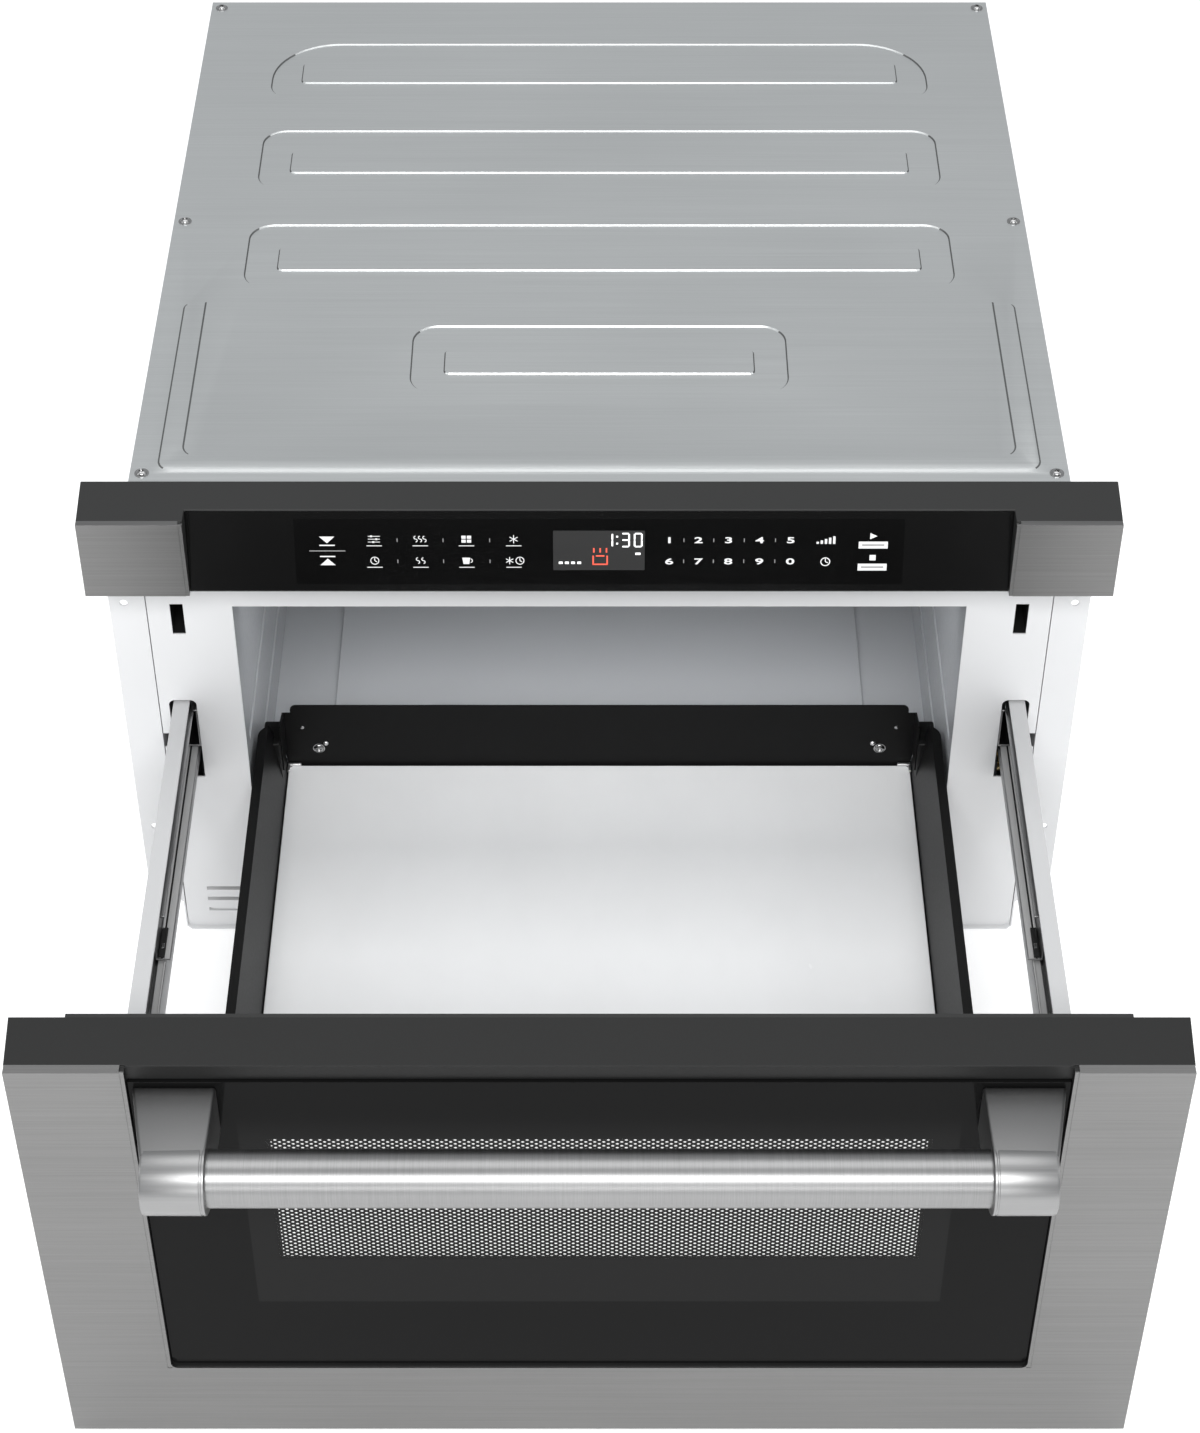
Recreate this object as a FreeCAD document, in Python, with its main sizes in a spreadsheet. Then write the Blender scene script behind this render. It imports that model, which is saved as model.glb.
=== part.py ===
import FreeCAD, Part
import Sketcher
import math
import os
import re

# Built-in microwave drawer, 24-inch class, drawn out to its stop.
# +X is to the user's right, +Y goes into the cabinet, +Z is up. The origin is on the
# underside of the base, at the middle of the width, in the plane of the mounting flanges.
# The case stands still. The drawer, its slides, the drive pinion, the two latch hooks,
# the field stirrer and the fan wheel move.

doc = FreeCAD.newDocument("microwave_drawer")
sheet = doc.addObject("Spreadsheet::Sheet", "Sizes")
WORD = re.compile(r"[a-z_][a-z0-9_]*")

# Driving sizes in millimetres, degrees or counts, each with its own name
SIZES = {
    # Front: control panel above, drawer front below
    "face_half_width": 302.5, "panel_side_draft": 1.8, "door_side_draft": 2.2,
    "panel_bottom": 329.3, "panel_height": 54.1, "panel_depth": 40.7, "door_bottom": 3.5,
    "door_height": 316.5, "door_lip_setback": 4.9, "glass_setback": 3.0, "column_width": 61.4,
    "bottom_rail_height": 60.2, "top_lip_height": 10.2, "skin_sheet": 1.2,
    "panel_skin_return": 4.0, "door_skin_return": 5.6, "travel": 356.6, "closed_gap": 0.4,
    "fit_gap": 0.4,
    # Control panel
    "touch_top_setback": 14.2, "touch_bottom_setback": 3.7, "touch_glass_depth": 3.2,
    "touch_lip": 1.4, "bezel_wall": 3.0, "bezel_rib": 16.0, "board_half_width": 172,
    "board_sheet": 1.6, "board_height": 36, "board_back": 14, "display_half_width": 27,
    "display_height": 31, "display_depth": 5.5, "display_rise": 9, "chip_side": 14,
    "chip_height": 2.2, "chip_pitch": 60, "chip_count": 5,
    # Case
    "case_half_width": 277, "case_top": 380.4, "case_depth": 548, "sheet": 1.0, "lap": 14,
    "frame_sheet": 1.2, "frame_return": 12, "frame_top_gap": 2, "frame_side_gap": 0.6,
    "base_lip": 3, "base_edge": 18,
    "flange_width": 21, "flange_top": 376, "flange_low_end": 24, "flange_chamfer": 21,
    "flange_hole_inset": 9, "flange_hole_low": 95.8, "flange_hole_spacing": 192.6,
    "flange_hole_radius": 2.5, "opening_half_width": 223.4, "opening_bottom": 61,
    "opening_top": 285.6, "latch_slot_x": 257.4, "latch_slot_width": 8, "latch_slot_low": 263,
    "latch_slot_height": 24.4, "rail_slot_inner": 252.3, "rail_slot_outer": 269.5,
    "rail_slot_low": 140.4, "rail_slot_height": 67.2, "rail_slot_radius": 4, "notch_inner": 272,
    "notch_low": 167, "notch_height": 12, "frame_corner_width": 4, "frame_corner_height": 7,
    "louvre_length": 62, "louvre_height": 3.2, "louvre_pitch": 10, "louvre_end": 260.5,
    "louvre_low": 15.4, "louvre_count": 3, "vent_length": 64, "vent_height": 4, "vent_pitch": 9,
    "vent_count": 9, "vent_x": 86, "vent_low": 60, "screw_head_radius": 3.6,
    "screw_head_height": 2.1, "screw_radius": 1.6, "screw_length": 7, "screw_hole_gap": 0.15,
    "cover_screw_x": 269.8, "cover_screw_front": 11, "cover_screw_middle": 272,
    "cover_screw_back": 540, "rear_screw_low": 60, "rear_screw_high": 340,
    # Stamping of the top cover: a sunk ring round a plateau, four times, and a raised bead
    "stamp_depth": 2.0, "stamp_corner": 16, "plateau_corner": 3, "stamp_rear_corner": 46,
    "stamp_one_y": 88.6, "stamp_one_length": 69.1, "stamp_one_half": 116, "stamp_two_y": 197.8,
    "stamp_three_y": 309.6, "stamp_four_y": 420.9, "stamp_wide_length": 70.6,
    "stamp_wide_half": 226.6, "ring_side": 21.2, "ring_front": 20.2, "ring_back": 25.4,
    "bead_half": 261.5, "bead_front": 12.6, "bead_back": 182.6, "bead_width": 14.2,
    "bead_height": 1.0, "bead_corner": 10,
    # Cooking cavity
    "cavity_half_width": 224.4, "cavity_floor": 60, "cavity_top": 286, "cavity_back": 437,
    "liner_sheet": 0.8, "liner_flange": 13.6, "rib_depth": 1.2, "rib_height": 10, "rib_low": 95,
    "rib_high": 152, "rib_front": 20, "rib_back": 415, "well_radius": 95, "well_depth": 20,
    "feed_y": 220, "feed_hole_radius": 12, "floor_plate_half": 183, "floor_plate_front": 95,
    "floor_plate_back": 385, "floor_plate_depth": 3, "grid_hole_radius": 1.5,
    "grid_hole_pitch": 6, "grid_count": 4, "lamp_x": 180, "lamp_z": 230, "steam_x": 60,
    # Drawer front
    "door_wall": 3.0, "glass_thick": 4, "screen_sheet": 0.8, "screen_inset": 51.6,
    "screen_low": 115, "screen_high": 285, "screen_gap": 3.5, "tunnel_inset": 11.5,
    "tunnel_low": 140, "tunnel_high": 268, "pane_inset": 3.5, "pane_low": 126, "pane_high": 278,
    "choke_half": 275.5, "choke_sheet": 2.5, "choke_low": 12, "choke_inset": 0.2,
    "door_top_wall": 6,
    "hollow_half": 271, "door_web": 12, "handle_stand": 43, "handle_z": 289.5,
    "handle_radius": 14.8, "handle_inset": 44.6, "ferrule_radius": 18, "ferrule_length": 35.5,
    "ferrule_overlap": 12, "post_root_lead": 0.9, "post_root_width": 41.7,
    "post_tip_lag": 0.2, "post_tip_width": 31.9, "post_height": 33,
    # Drawer pan
    "pan_sheet": 1.2, "pan_half": 221.5, "pan_lip": 6, "pan_top": 142.5, "pan_floor_half": 208,
    "tray_top": 86, "tray_thick": 4, "tray_side_gap": 0.7, "tray_back": 66.5, "tray_corner": 4,
    "pan_back": 67.7, "pan_foot": 9, "pan_base_height": 4.8, "pan_base_rim": 32, "pan_hem": 14,
    "rear_wall_top": 139.3, "rear_wall_half": 203.6, "rear_shoulder_half": 209.3,
    "rear_shoulder_drop": 7, "rear_shoulder_low": 99.5, "rear_wall_corner": 4,
    "pan_screw_x": 186.5, "pan_screw_z": 101, "pan_hole_x": 196.6, "pan_hole_z": 120,
    "pan_hole_radius": 1.6, "pan_wall_end": 46, "pan_lip_round": 10,
    "rear_return_gap": 2, "rear_return_rise": 7,
    # Telescopic slides
    "arm_outer": 266.6, "arm_width": 10.2, "arm_low": 145, "arm_height": 61, "arm_sheet": 1.5,
    "arm_back": 75, "rail_sheet": 1.2, "rail_low": 158, "rail_height": 45,
    "drawer_rail_lip": 6.3, "rail_gap": 0.4, "ball_gap": 2.2, "mid_front": 177,
    "mid_length": 385, "cabinet_rail_inner": 253, "cabinet_rail_front": 3,
    "cabinet_rail_length": 402, "drawer_rail_start": 6, "bracket_sheet": 1.5,
    "bracket_leg_length": 40, "bracket_leg_low": 166, "bracket_leg_height": 34,
    "bracket_front_y": 60, "bracket_back_y": 330,
    # Rack drive under the right-hand arm
    "tooth_module": 1.0, "pinion_teeth": 20, "pressure_angle": 20, "tooth_backlash": 0.25,
    "rack_body": 1.75, "rack_width": 8, "rack_inset": 1, "rack_spare": 12, "pinion_y": 30,
    "pinion_width": 7, "shaft_radius": 3, "shaft_reach": 10, "bore_gap": 0.1,
    "gearbox_width": 22, "gearbox_length": 52, "gearbox_height": 30, "gearbox_head": 6.5,
    "gearbox_gap": 1.2, "gearbox_nose": 14, "motor_radius": 14, "motor_length": 46,
    "stand_inset": 2, "stand_sheet": 1.5,
    # Latches
    "hook_thick": 4, "hook_height": 10, "hook_reach": 36, "hook_nose": 4.5,
    "hook_nose_length": 9, "hook_lead": 4, "hook_pivot_in": 11, "hook_z": 269,
    "hook_pin_radius": 2.4, "ear_thick": 3, "ear_gap": 0.4, "ear_reach": 16.5,
    "latch_block_wall": 4.5, "latch_block_length": 60, "switch_length": 20, "switch_height": 10,
    "switch_thick": 6, "switch_start": 18, "switch_gap": 3,
    # Microwave source, supply and cooling behind the cavity
    "guide_half": 45, "guide_height": 24, "guide_sheet": 1, "guide_front": 175,
    "guide_back": 532, "source_y": 492, "source_half": 46, "source_height": 68,
    "source_wall": 2, "fin_count": 9, "fin_sheet": 0.8, "fin_pitch": 4.2, "anode_radius": 20,
    "magnet_radius": 27, "magnet_height": 12, "probe_radius": 9, "probe_drop": 15,
    "filter_height": 20, "filter_inset": 18, "stirrer_radius": 80, "stirrer_sheet": 1.2,
    "stirrer_blades": 4, "stirrer_rise": 9, "stirrer_disc": 22, "blade_width": 30,
    "stirrer_hub": 6, "stirrer_shaft": 3.5, "stirrer_grip": 8, "stirrer_motor_radius": 24,
    "stirrer_motor_height": 11, "stirrer_ear_half": 33, "stirrer_ear_width": 16, "core_x": 144,
    "core_width": 92, "core_depth": 66, "core_height": 74, "coil_bulge": 14, "coil_margin": 12,
    "core_foot": 5, "core_foot_rim": 6, "capacitor_x": 238, "capacitor_width": 52,
    "capacitor_depth": 32, "capacitor_height": 92, "terminal_radius": 3, "terminal_height": 9,
    "fan_x": 84, "fan_size": 104, "fan_depth": 28, "fan_bore": 48, "wheel_radius": 46,
    "wheel_hub": 14, "wheel_blades": 7, "blade_sheet": 1.6, "blade_chord": 22,
    "blade_pitch": 35, "wheel_depth": 16, "fan_motor_width": 40, "fan_motor_depth": 22,
    "spider_arm": 8, "spider_sheet": 2, "fan_shaft_reach": 20, "lamp_radius": 10,
    "lamp_box_half": 15, "lamp_box_depth": 22, "lamp_wall": 1, "lamp_gap": 4,
    "lamp_socket_radius": 9, "lamp_socket_length": 10, "gland_x": 225, "gland_z": 330,
    "gland_radius": 9, "gland_flange": 13, "gland_depth": 2.5, "gland_length": 12,
    "gland_bore": 4.2, "running_gap": 0.3,
}
for row, (alias, value) in enumerate(SIZES.items(), start=1):
    sheet.set("A%d" % row, alias)
    sheet.set("B%d" % row, str(value))
    sheet.setAlias("B%d" % row, alias)
doc.recompute()

# Derived places, written once as expressions of the sizes above
PANEL_TOP = "(panel_bottom+panel_height)"
PANEL_FRONT = "(-panel_depth)"
DOOR_FRONT = "(-panel_depth-travel)"
DOOR_BACK = "(-travel-closed_gap)"
DOOR_FRAME_BACK = "(-travel-closed_gap-choke_sheet)"
DOOR_TOP = "(door_bottom+door_height)"
COLUMN_EDGE = "(face_half_width-column_width)"
SCREEN_HALF = "(face_half_width-column_width-screen_inset)"
TUNNEL_HALF = "(face_half_width-column_width-screen_inset-tunnel_inset)"
PANE_HALF = "(face_half_width-column_width-screen_inset-pane_inset)"
HANDLE_HALF = "(face_half_width-column_width-handle_inset)"
RAIL_TOP = "(door_bottom+bottom_rail_height)"
GLASS_FRONT = "(-panel_depth-travel+glass_setback)"
GLASS_BACK = "(-panel_depth-travel+glass_setback+glass_thick)"
SCREEN_FRONT = "(-panel_depth-travel+glass_setback+glass_thick+screen_gap)"
SCREEN_BACK = "(-panel_depth-travel+glass_setback+glass_thick+screen_gap+screen_sheet)"
CASE_INNER = "(case_half_width-sheet)"
FLANGE_EDGE = "(case_half_width+flange_width)"
LINER_OUTER = "(cavity_half_width+liner_sheet)"
LINER_BACK = "(cavity_back+liner_sheet)"
PAN_UNDER = "(tray_top-tray_thick-pan_base_height)"
ARM_INNER = "(arm_outer-arm_width)"
ARM_TOP = "(arm_low+arm_height)"
RAIL_HIGH = "(rail_low+rail_height)"
MID_STEP = "(rail_sheet+ball_gap)"
PINION_Z = "(arm_low-rack_body-1.25*tooth_module-0.5*tooth_module*pinion_teeth)"
GEARBOX_X = "(arm_outer-arm_width+rack_inset+0.5*(rack_width-pinion_width)-gearbox_gap)"
GUIDE_TOP = "(cavity_floor-well_depth)"
GUIDE_LOW = "(cavity_floor-well_depth-guide_height)"
FAN_Z = "(sheet+0.5*fan_size)"

nodes = {}


def size(alias):
    """A size from the sheet, for the few shapes that are made in code."""
    return float(sheet.get(alias))


def bound(text):
    """An expression of plain size names, made to read the sheet."""
    return WORD.sub(lambda word: "Sizes." + word.group(0), text)


def bind(item, **properties):
    """Tie properties to expressions; a double underscore stands for a dot."""
    for name, text in properties.items():
        item.setExpression(name.replace("__", "."), bound(text))


def place(item, x, y, z):
    bind(item, Placement__Base__x=x, Placement__Base__y=y, Placement__Base__z=z)


def both(half):
    """The range from minus to plus one expression."""
    return ("-(%s)" % half, half)


def around(middle, width):
    """The range of a width about a middle."""
    return ("(%s)-0.5*(%s)" % (middle, width), "(%s)+0.5*(%s)" % (middle, width))


def box(x, y, z):
    """A block between three pairs of expressions (low, high)."""
    block = doc.addObject("Part::Box", "Block")
    bind(block, Length="(%s)-(%s)" % (x[1], x[0]))
    bind(block, Width="(%s)-(%s)" % (y[1], y[0]))
    bind(block, Height="(%s)-(%s)" % (z[1], z[0]))
    place(block, x[0], y[0], z[0])
    return block


def rod(axis, radius, at, length):
    """A cylinder that starts at a point and runs along +X, +Y or +Z."""
    turned = {"X": FreeCAD.Rotation(FreeCAD.Vector(0, 1, 0), 90),
              "Y": FreeCAD.Rotation(FreeCAD.Vector(1, 0, 0), -90),
              "Z": FreeCAD.Rotation()}
    bar = doc.addObject("Part::Cylinder", "Rod")
    bar.Placement.Rotation = turned[axis]
    bind(bar, Radius=radius, Height=length)
    place(bar, *at)
    return bar


def taper(x_front, x_back, y, z):
    """A block whose range across changes evenly from its front to its back."""
    wedge = doc.addObject("Part::Wedge", "Taper")
    bind(wedge, Xmin=x_front[0], Xmax=x_front[1], X2min=x_back[0], X2max=x_back[1])
    bind(wedge, Ymin=y[0], Ymax=y[1], Zmin=z[0], Zmax=z[1], Z2min=z[0], Z2max=z[1])
    return wedge


def fuse(*pieces):
    whole = doc.addObject("Part::MultiFuse", "Joined")
    whole.Shapes = list(pieces)
    whole.Refine = True
    return whole


def cut(base, *tools):
    result = doc.addObject("Part::Cut", "Trimmed")
    result.Base = base
    result.Tool = tools[0] if len(tools) == 1 else fuse(*tools)
    result.Refine = True
    return result


def together(*pieces):
    """Alike loose pieces that share one node."""
    group = doc.addObject("Part::Compound", "Group")
    group.Links = list(pieces)
    return group


def mirrored(source):
    """The same piece on the other side of the middle plane."""
    other = doc.addObject("Part::Mirroring", "Mirror")
    other.Source = source
    other.Base = (0, 0, 0)
    other.Normal = (1, 0, 0)
    return other


def node(name, item):
    item.Label = name
    nodes[name] = item


def pair(name, left):
    """A left-hand piece at -X and its mirror image at +X, as two nodes."""
    node(name + "_left", left)
    node(name + "_right", mirrored(left))


def coded(name, shape):
    """A node whose shape is worked out in code from sizes of the sheet."""
    feature = doc.addObject("Part::Feature", "Coded")
    feature.Shape = shape
    node(name, feature)


class Drawing:
    """A sketch on a body's own plane, with every corner tied to the sheet."""

    def __init__(self, body, plane, offset):
        self.sketch = body.newObject("Sketcher::SketchObject", "Drawing")
        flat = [item for item in body.Origin.OriginFeatures if item.Role == plane + "_Plane"]
        self.sketch.AttachmentSupport = (flat[0], "")
        self.sketch.MapMode = "FlatFace"
        bind(self.sketch, AttachmentOffset__Base__z=offset)

    def tie(self, text, kind, *terms):
        """Add one measured constraint and give its value to an expression."""
        number = self.sketch.addConstraint(Sketcher.Constraint(kind, *terms))
        name = "%s%d" % (kind, number)
        self.sketch.renameConstraint(number, name)
        self.sketch.setExpression("Constraints." + name, bound(text))

    def loop(self, points):
        """A closed outline of straight lines through pairs of expressions."""
        count = len(points)
        spots = [FreeCAD.Vector(100 * math.cos(2 * math.pi * i / count),
                                100 * math.sin(2 * math.pi * i / count), 0)
                 for i in range(count)]
        lines = [self.sketch.addGeometry(Part.LineSegment(spots[i], spots[(i + 1) % count]))
                 for i in range(count)]
        for i, line in enumerate(lines):
            following = lines[(i + 1) % count]
            self.sketch.addConstraint(Sketcher.Constraint("Coincident", line, 2, following, 1))
        for line, (across, up) in zip(lines, points):
            self.tie(across, "DistanceX", -1, 1, line, 1, 1.0)
            self.tie(up, "DistanceY", -1, 1, line, 1, 1.0)

    def circle(self, across, up, radius):
        middle = FreeCAD.Vector(1, 1, 0)
        ring = self.sketch.addGeometry(Part.Circle(middle, FreeCAD.Vector(0, 0, 1), 5))
        self.tie(across, "DistanceX", -1, 1, ring, 3, 1.0)
        self.tie(up, "DistanceY", -1, 1, ring, 3, 1.0)
        self.tie(radius, "Radius", ring, 5.0)


def add_pad(body, plane, span, loops=(), circles=()):
    """Pad outlines and circles of a body between two expressions along its third axis.

    On the YZ plane a drawing's axes are Y and Z, on XZ they are X and Z, on XY X and Y.
    """
    low, high = span
    # the XZ plane faces -Y, so its drawing lies at the high end and grows towards -Y
    offset = "-(%s)" % high if plane == "XZ" else low
    drawing = Drawing(body, plane, offset)
    for points in loops:
        drawing.loop(points)
    for across, up, radius in circles:
        drawing.circle(across, up, radius)
    pad = body.newObject("PartDesign::Pad", "Pad")
    pad.Profile = drawing.sketch
    bind(pad, Length="(%s)-(%s)" % (high, low))
    body.Tip = pad
    return pad


def padded(plane, span, loops=(), circles=()):
    """A new body with one pad."""
    body = doc.addObject("PartDesign::Body", "Body")
    add_pad(body, plane, span, loops, circles)
    return body


def rectangle(across, up):
    return [(across[0], up[0]), (across[1], up[0]), (across[1], up[1]), (across[0], up[1])]


def rounded(body, radius, chosen):
    """Fillet the straight edges of a body whose middle and direction pass a test."""
    doc.recompute()
    base = body.Tip
    names = []
    for i, edge in enumerate(base.Shape.Edges):
        if edge.Curve.TypeId != "Part::GeomLine":
            continue
        middle = edge.valueAt((edge.FirstParameter + edge.LastParameter) / 2)
        if chosen(middle, edge.tangentAt(edge.FirstParameter)):
            names.append("Edge%d" % (i + 1))
    fillet = body.newObject("PartDesign::Fillet", "Rounding")
    fillet.Base = (base, names)
    bind(fillet, Radius=radius)
    body.Tip = fillet


def upright(middle, along):
    return abs(along.z) > 0.99


def channel(web, open_edge, low, high, thick):
    """The outline of a C-channel: its web's outer face, the edge that its flanges reach,
    its two heights and its sheet. The sign of the sheet is the side that it opens to."""
    inner = "(%s)+(%s)" % (web, thick)
    plain = thick.replace("-", "")
    return [(web, low), (open_edge, low), (open_edge, "(%s)+%s" % (low, plain)),
            (inner, "(%s)+%s" % (low, plain)), (inner, "(%s)-%s" % (high, plain)),
            (open_edge, "(%s)-%s" % (high, plain)), (open_edge, high), (web, high)]


# ---------------------------------------------------------------- case

def make_chassis_base():
    """Folded base tray; its front lip stands under the drawer front."""
    tray = box(both(CASE_INNER), ("-base_lip", "case_depth-sheet"), ("0", "base_edge"))
    hollow = box(both(CASE_INNER + "-sheet"), ("frame_sheet+sheet", "case_depth-2*sheet"),
                 ("sheet", "base_edge+sheet"))
    front_room = box(both("case_half_width"), ("-2*base_lip", "frame_sheet"),
                     ("sheet", "2*base_edge"))
    node("chassis_base", cut(tray, hollow, front_room))


def make_side_panels():
    """Side sheet with an out-turned mounting flange and in-turned laps for cover and rear."""
    lap_edge = "-(case_half_width-sheet-lap)"
    wall = box(("-case_half_width", "-" + CASE_INNER), ("0", "case_depth-sheet"),
               ("0", "case_top-sheet"))
    top_lap = box(("-" + CASE_INNER, lap_edge), ("frame_sheet+sheet", "case_depth-sheet"),
                  ("case_top-2*sheet", "case_top-sheet"))
    rear_lap = box(("-" + CASE_INNER, lap_edge), ("case_depth-2*sheet", "case_depth-sheet"),
                   ("base_edge+2*sheet", "case_top-2*sheet"))
    hole_x = "-(%s-flange_hole_inset)" % FLANGE_EDGE
    flange = padded("XZ", ("0", "frame_sheet"),
                    [[("-case_half_width", "flange_low_end"),
                      ("-case_half_width", "flange_top"),
                      ("-" + FLANGE_EDGE, "flange_top"),
                      ("-" + FLANGE_EDGE, "flange_low_end+flange_chamfer")]],
                    [(hole_x, "flange_hole_low", "flange_hole_radius"),
                     (hole_x, "flange_hole_low+flange_hole_spacing",
                      "flange_hole_radius")])
    screw_hole = "screw_radius+screw_hole_gap"
    holes = [rod("Z", screw_hole, ("-cover_screw_x", y, "case_top-3*sheet"), "3*sheet")
             for y in ("cover_screw_front", "cover_screw_middle", "cover_screw_back")]
    holes += [rod("Y", screw_hole, ("-cover_screw_x", "case_depth-3*sheet", z), "3*sheet")
              for z in ("rear_screw_low", "rear_screw_high")]
    pair("side_panel", cut(fuse(wall, top_lap, rear_lap, flange), *holes))


def louvre_slots():
    """Slots low on the left of the front frame."""
    return [rectangle(("-louvre_end", "-louvre_end+louvre_length"),
                      ("louvre_low+%d*louvre_pitch" % i,
                       "louvre_low+%d*louvre_pitch+louvre_height" % i))
            for i in range(int(size("louvre_count")))]


def make_front_frame():
    """White face plate with the cavity opening, slide slots and latch slots."""
    edge = "(case_half_width-sheet-frame_side_gap)"
    top = "case_top-2*sheet-frame_top_gap"
    corner = "sheet+frame_corner_height"
    notch_high = "notch_low+notch_height"
    outer = [("-%s+frame_corner_width" % edge, "sheet"), (edge + "-frame_corner_width", "sheet"),
             (edge, corner), (edge, "notch_low"), ("notch_inner", "notch_low"),
             ("notch_inner", notch_high), (edge, notch_high), (edge, top), ("-" + edge, top),
             ("-" + edge, notch_high), ("-notch_inner", notch_high),
             ("-notch_inner", "notch_low"), ("-" + edge, "notch_low"), ("-" + edge, corner)]
    opening = rectangle(both("opening_half_width"), ("opening_bottom", "opening_top"))
    loops = [outer, opening] + louvre_slots()
    for side in ("-", ""):
        loops.append(rectangle(around(side + "latch_slot_x", "latch_slot_width"),
                               ("latch_slot_low", "latch_slot_low+latch_slot_height")))
        loops.append(rectangle((side + "rail_slot_inner", side + "rail_slot_outer"),
                               ("rail_slot_low", "rail_slot_low+rail_slot_height")))
    plate = padded("XZ", ("0", "frame_sheet"), loops)
    slot_edges = (size("rail_slot_inner"), size("rail_slot_outer"))
    slot_top = size("rail_slot_low") + size("rail_slot_height")

    def slot_corner(middle, along):
        at_side = min(abs(abs(middle.x) - edge) for edge in slot_edges) < 0.01
        return abs(along.y) > 0.99 and at_side and abs(middle.z - slot_top) < 0.01

    rounded(plate, "rail_slot_radius", slot_corner)
    returns = [box(side, ("frame_sheet", "frame_sheet+frame_return"), (notch_high, top))
               for side in (("-" + edge, "-%s+frame_sheet" % edge),
                            (edge + "-frame_sheet", edge))]
    node("front_frame", fuse(plate, *returns))


def vent_slots():
    """Rows of slots in the rear panel, behind the fan and on the outlet side."""
    slots = []
    for side in ("", "-"):
        across = around(side + "(vent_x+0.5*vent_length)", "vent_length")
        for i in range(int(size("vent_count"))):
            low = "vent_low+%d*vent_pitch" % i
            slots.append(rectangle(across, (low, low + "+vent_height")))
    return slots


def make_rear_panel():
    loops = [rectangle(both("case_half_width"), ("0", "case_top-sheet"))] + vent_slots()
    circles = [("gland_x", "gland_z", "gland_radius")]
    for side in ("-", ""):
        for z in ("rear_screw_low", "rear_screw_high"):
            circles.append((side + "cover_screw_x", z, "screw_radius+screw_hole_gap"))
    node("rear_panel", padded("XZ", ("case_depth-sheet", "case_depth"), loops, circles))


def round_outline(half, front, back, height, corners, inset):
    """A rectangle across the middle plane, inset all round, with front and back radii."""
    half, front, back = half - inset, front + inset, back - inset
    near, far = [max(corner - inset, 0.5) for corner in corners]
    turns = [(-half, front, near), (half, front, near), (half, back, far), (-half, back, far)]
    arcs = []
    for i, (x, y, radius) in enumerate(turns):
        centre = FreeCAD.Vector(x - math.copysign(radius, x),
                                y + math.copysign(radius, 1.5 - i), height)
        start = math.radians(180 + 90 * i)
        arcs.append([centre + FreeCAD.Vector(radius * math.cos(start + step * math.pi / 4),
                                             radius * math.sin(start + step * math.pi / 4), 0)
                     for step in range(3)])
    edges = []
    for i, arc in enumerate(arcs):
        edges.append(Part.Arc(*arc).toShape())
        edges.append(Part.LineSegment(arc[2], arcs[(i + 1) % 4][0]).toShape())
    return Part.Wire(edges)


def sloped(half, front, back, corners, low, high):
    """A solid with slanted sides; low and high are (height, inset) of its two ends."""
    ends = [round_outline(half, front, back, height, corners, inset)
            for height, inset in (low, high)]
    return Part.makeLoft(ends, True, True)


def stamped_ring(front, length, half, back_corner):
    """The sunk ring of one stamping: its outline less the plateau that stays up."""
    top, depth = size("case_top"), size("stamp_depth")
    outer = sloped(half, front, front + length, (size("stamp_corner"), back_corner),
                   (top - depth, depth), (top, 0))
    corner = size("plateau_corner")
    plateau = sloped(half - size("ring_side"), front + size("ring_front"),
                     front + length - size("ring_back"), (corner, corner),
                     (top - depth, -depth), (top, 0))
    return outer.cut(plateau)


def make_top_cover():
    """Galvanised cover: a block stamped from above, less the same block one sheet lower."""
    half, top, thick = size("case_half_width"), size("case_top"), size("sheet")
    deep = 4 * size("stamp_depth")
    block = Part.makeBox(2 * half, size("case_depth"), deep,
                         FreeCAD.Vector(-half, 0, top - deep))
    wide = (size("stamp_wide_length"), size("stamp_wide_half"))
    corner = size("stamp_corner")
    block = block.cut(stamped_ring(size("stamp_one_y"), size("stamp_one_length"),
                                   size("stamp_one_half"), corner))
    block = block.cut(stamped_ring(size("stamp_two_y"), *wide, corner))
    block = block.cut(stamped_ring(size("stamp_three_y"), *wide, corner))
    block = block.cut(stamped_ring(size("stamp_four_y"), *wide, size("stamp_rear_corner")))
    raised, width = size("bead_height"), size("bead_width")
    front, back, turn = size("bead_front"), size("bead_back"), size("bead_corner")
    outer = sloped(size("bead_half"), front, back, (turn, width / 2), (top, 0),
                   (top + raised, raised))
    inner = sloped(size("bead_half") - width, front + width, back + width, (turn, turn),
                   (top, 0), (top + raised, -raised))
    block = block.fuse(outer.cut(inner))
    lowered = block.copy()
    lowered.translate(FreeCAD.Vector(0, 0, -thick))
    cover = max(block.cut(lowered).Solids, key=lambda solid: solid.Volume)
    room = size("screw_radius") + size("screw_hole_gap")
    for x in (-size("cover_screw_x"), size("cover_screw_x")):
        for alias in ("cover_screw_front", "cover_screw_middle", "cover_screw_back"):
            hole = Part.makeCylinder(room, deep, FreeCAD.Vector(x, size(alias), top - deep / 2))
            cover = cover.cut(hole)
    coded("top_cover", cover.removeSplitter())


def make_screw(axis, x, y, z, head_side, reach):
    """A round-head screw on a face; head_side is +1 or -1 along the axis."""
    face = {"Y": y, "Z": z}[axis]
    if head_side > 0:
        head_from, shank_from = face, "%s-(%s)" % (face, reach)
    else:
        head_from, shank_from = face + "-screw_head_height", face
    if axis == "Z":
        ends = ((x, y, head_from), (x, y, shank_from))
    else:
        ends = ((x, head_from, z), (x, shank_from, z))
    head = rod(axis, "screw_head_radius", ends[0], "screw_head_height")
    shank = rod(axis, "screw_radius", ends[1], reach)
    return fuse(head, shank)


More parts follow.
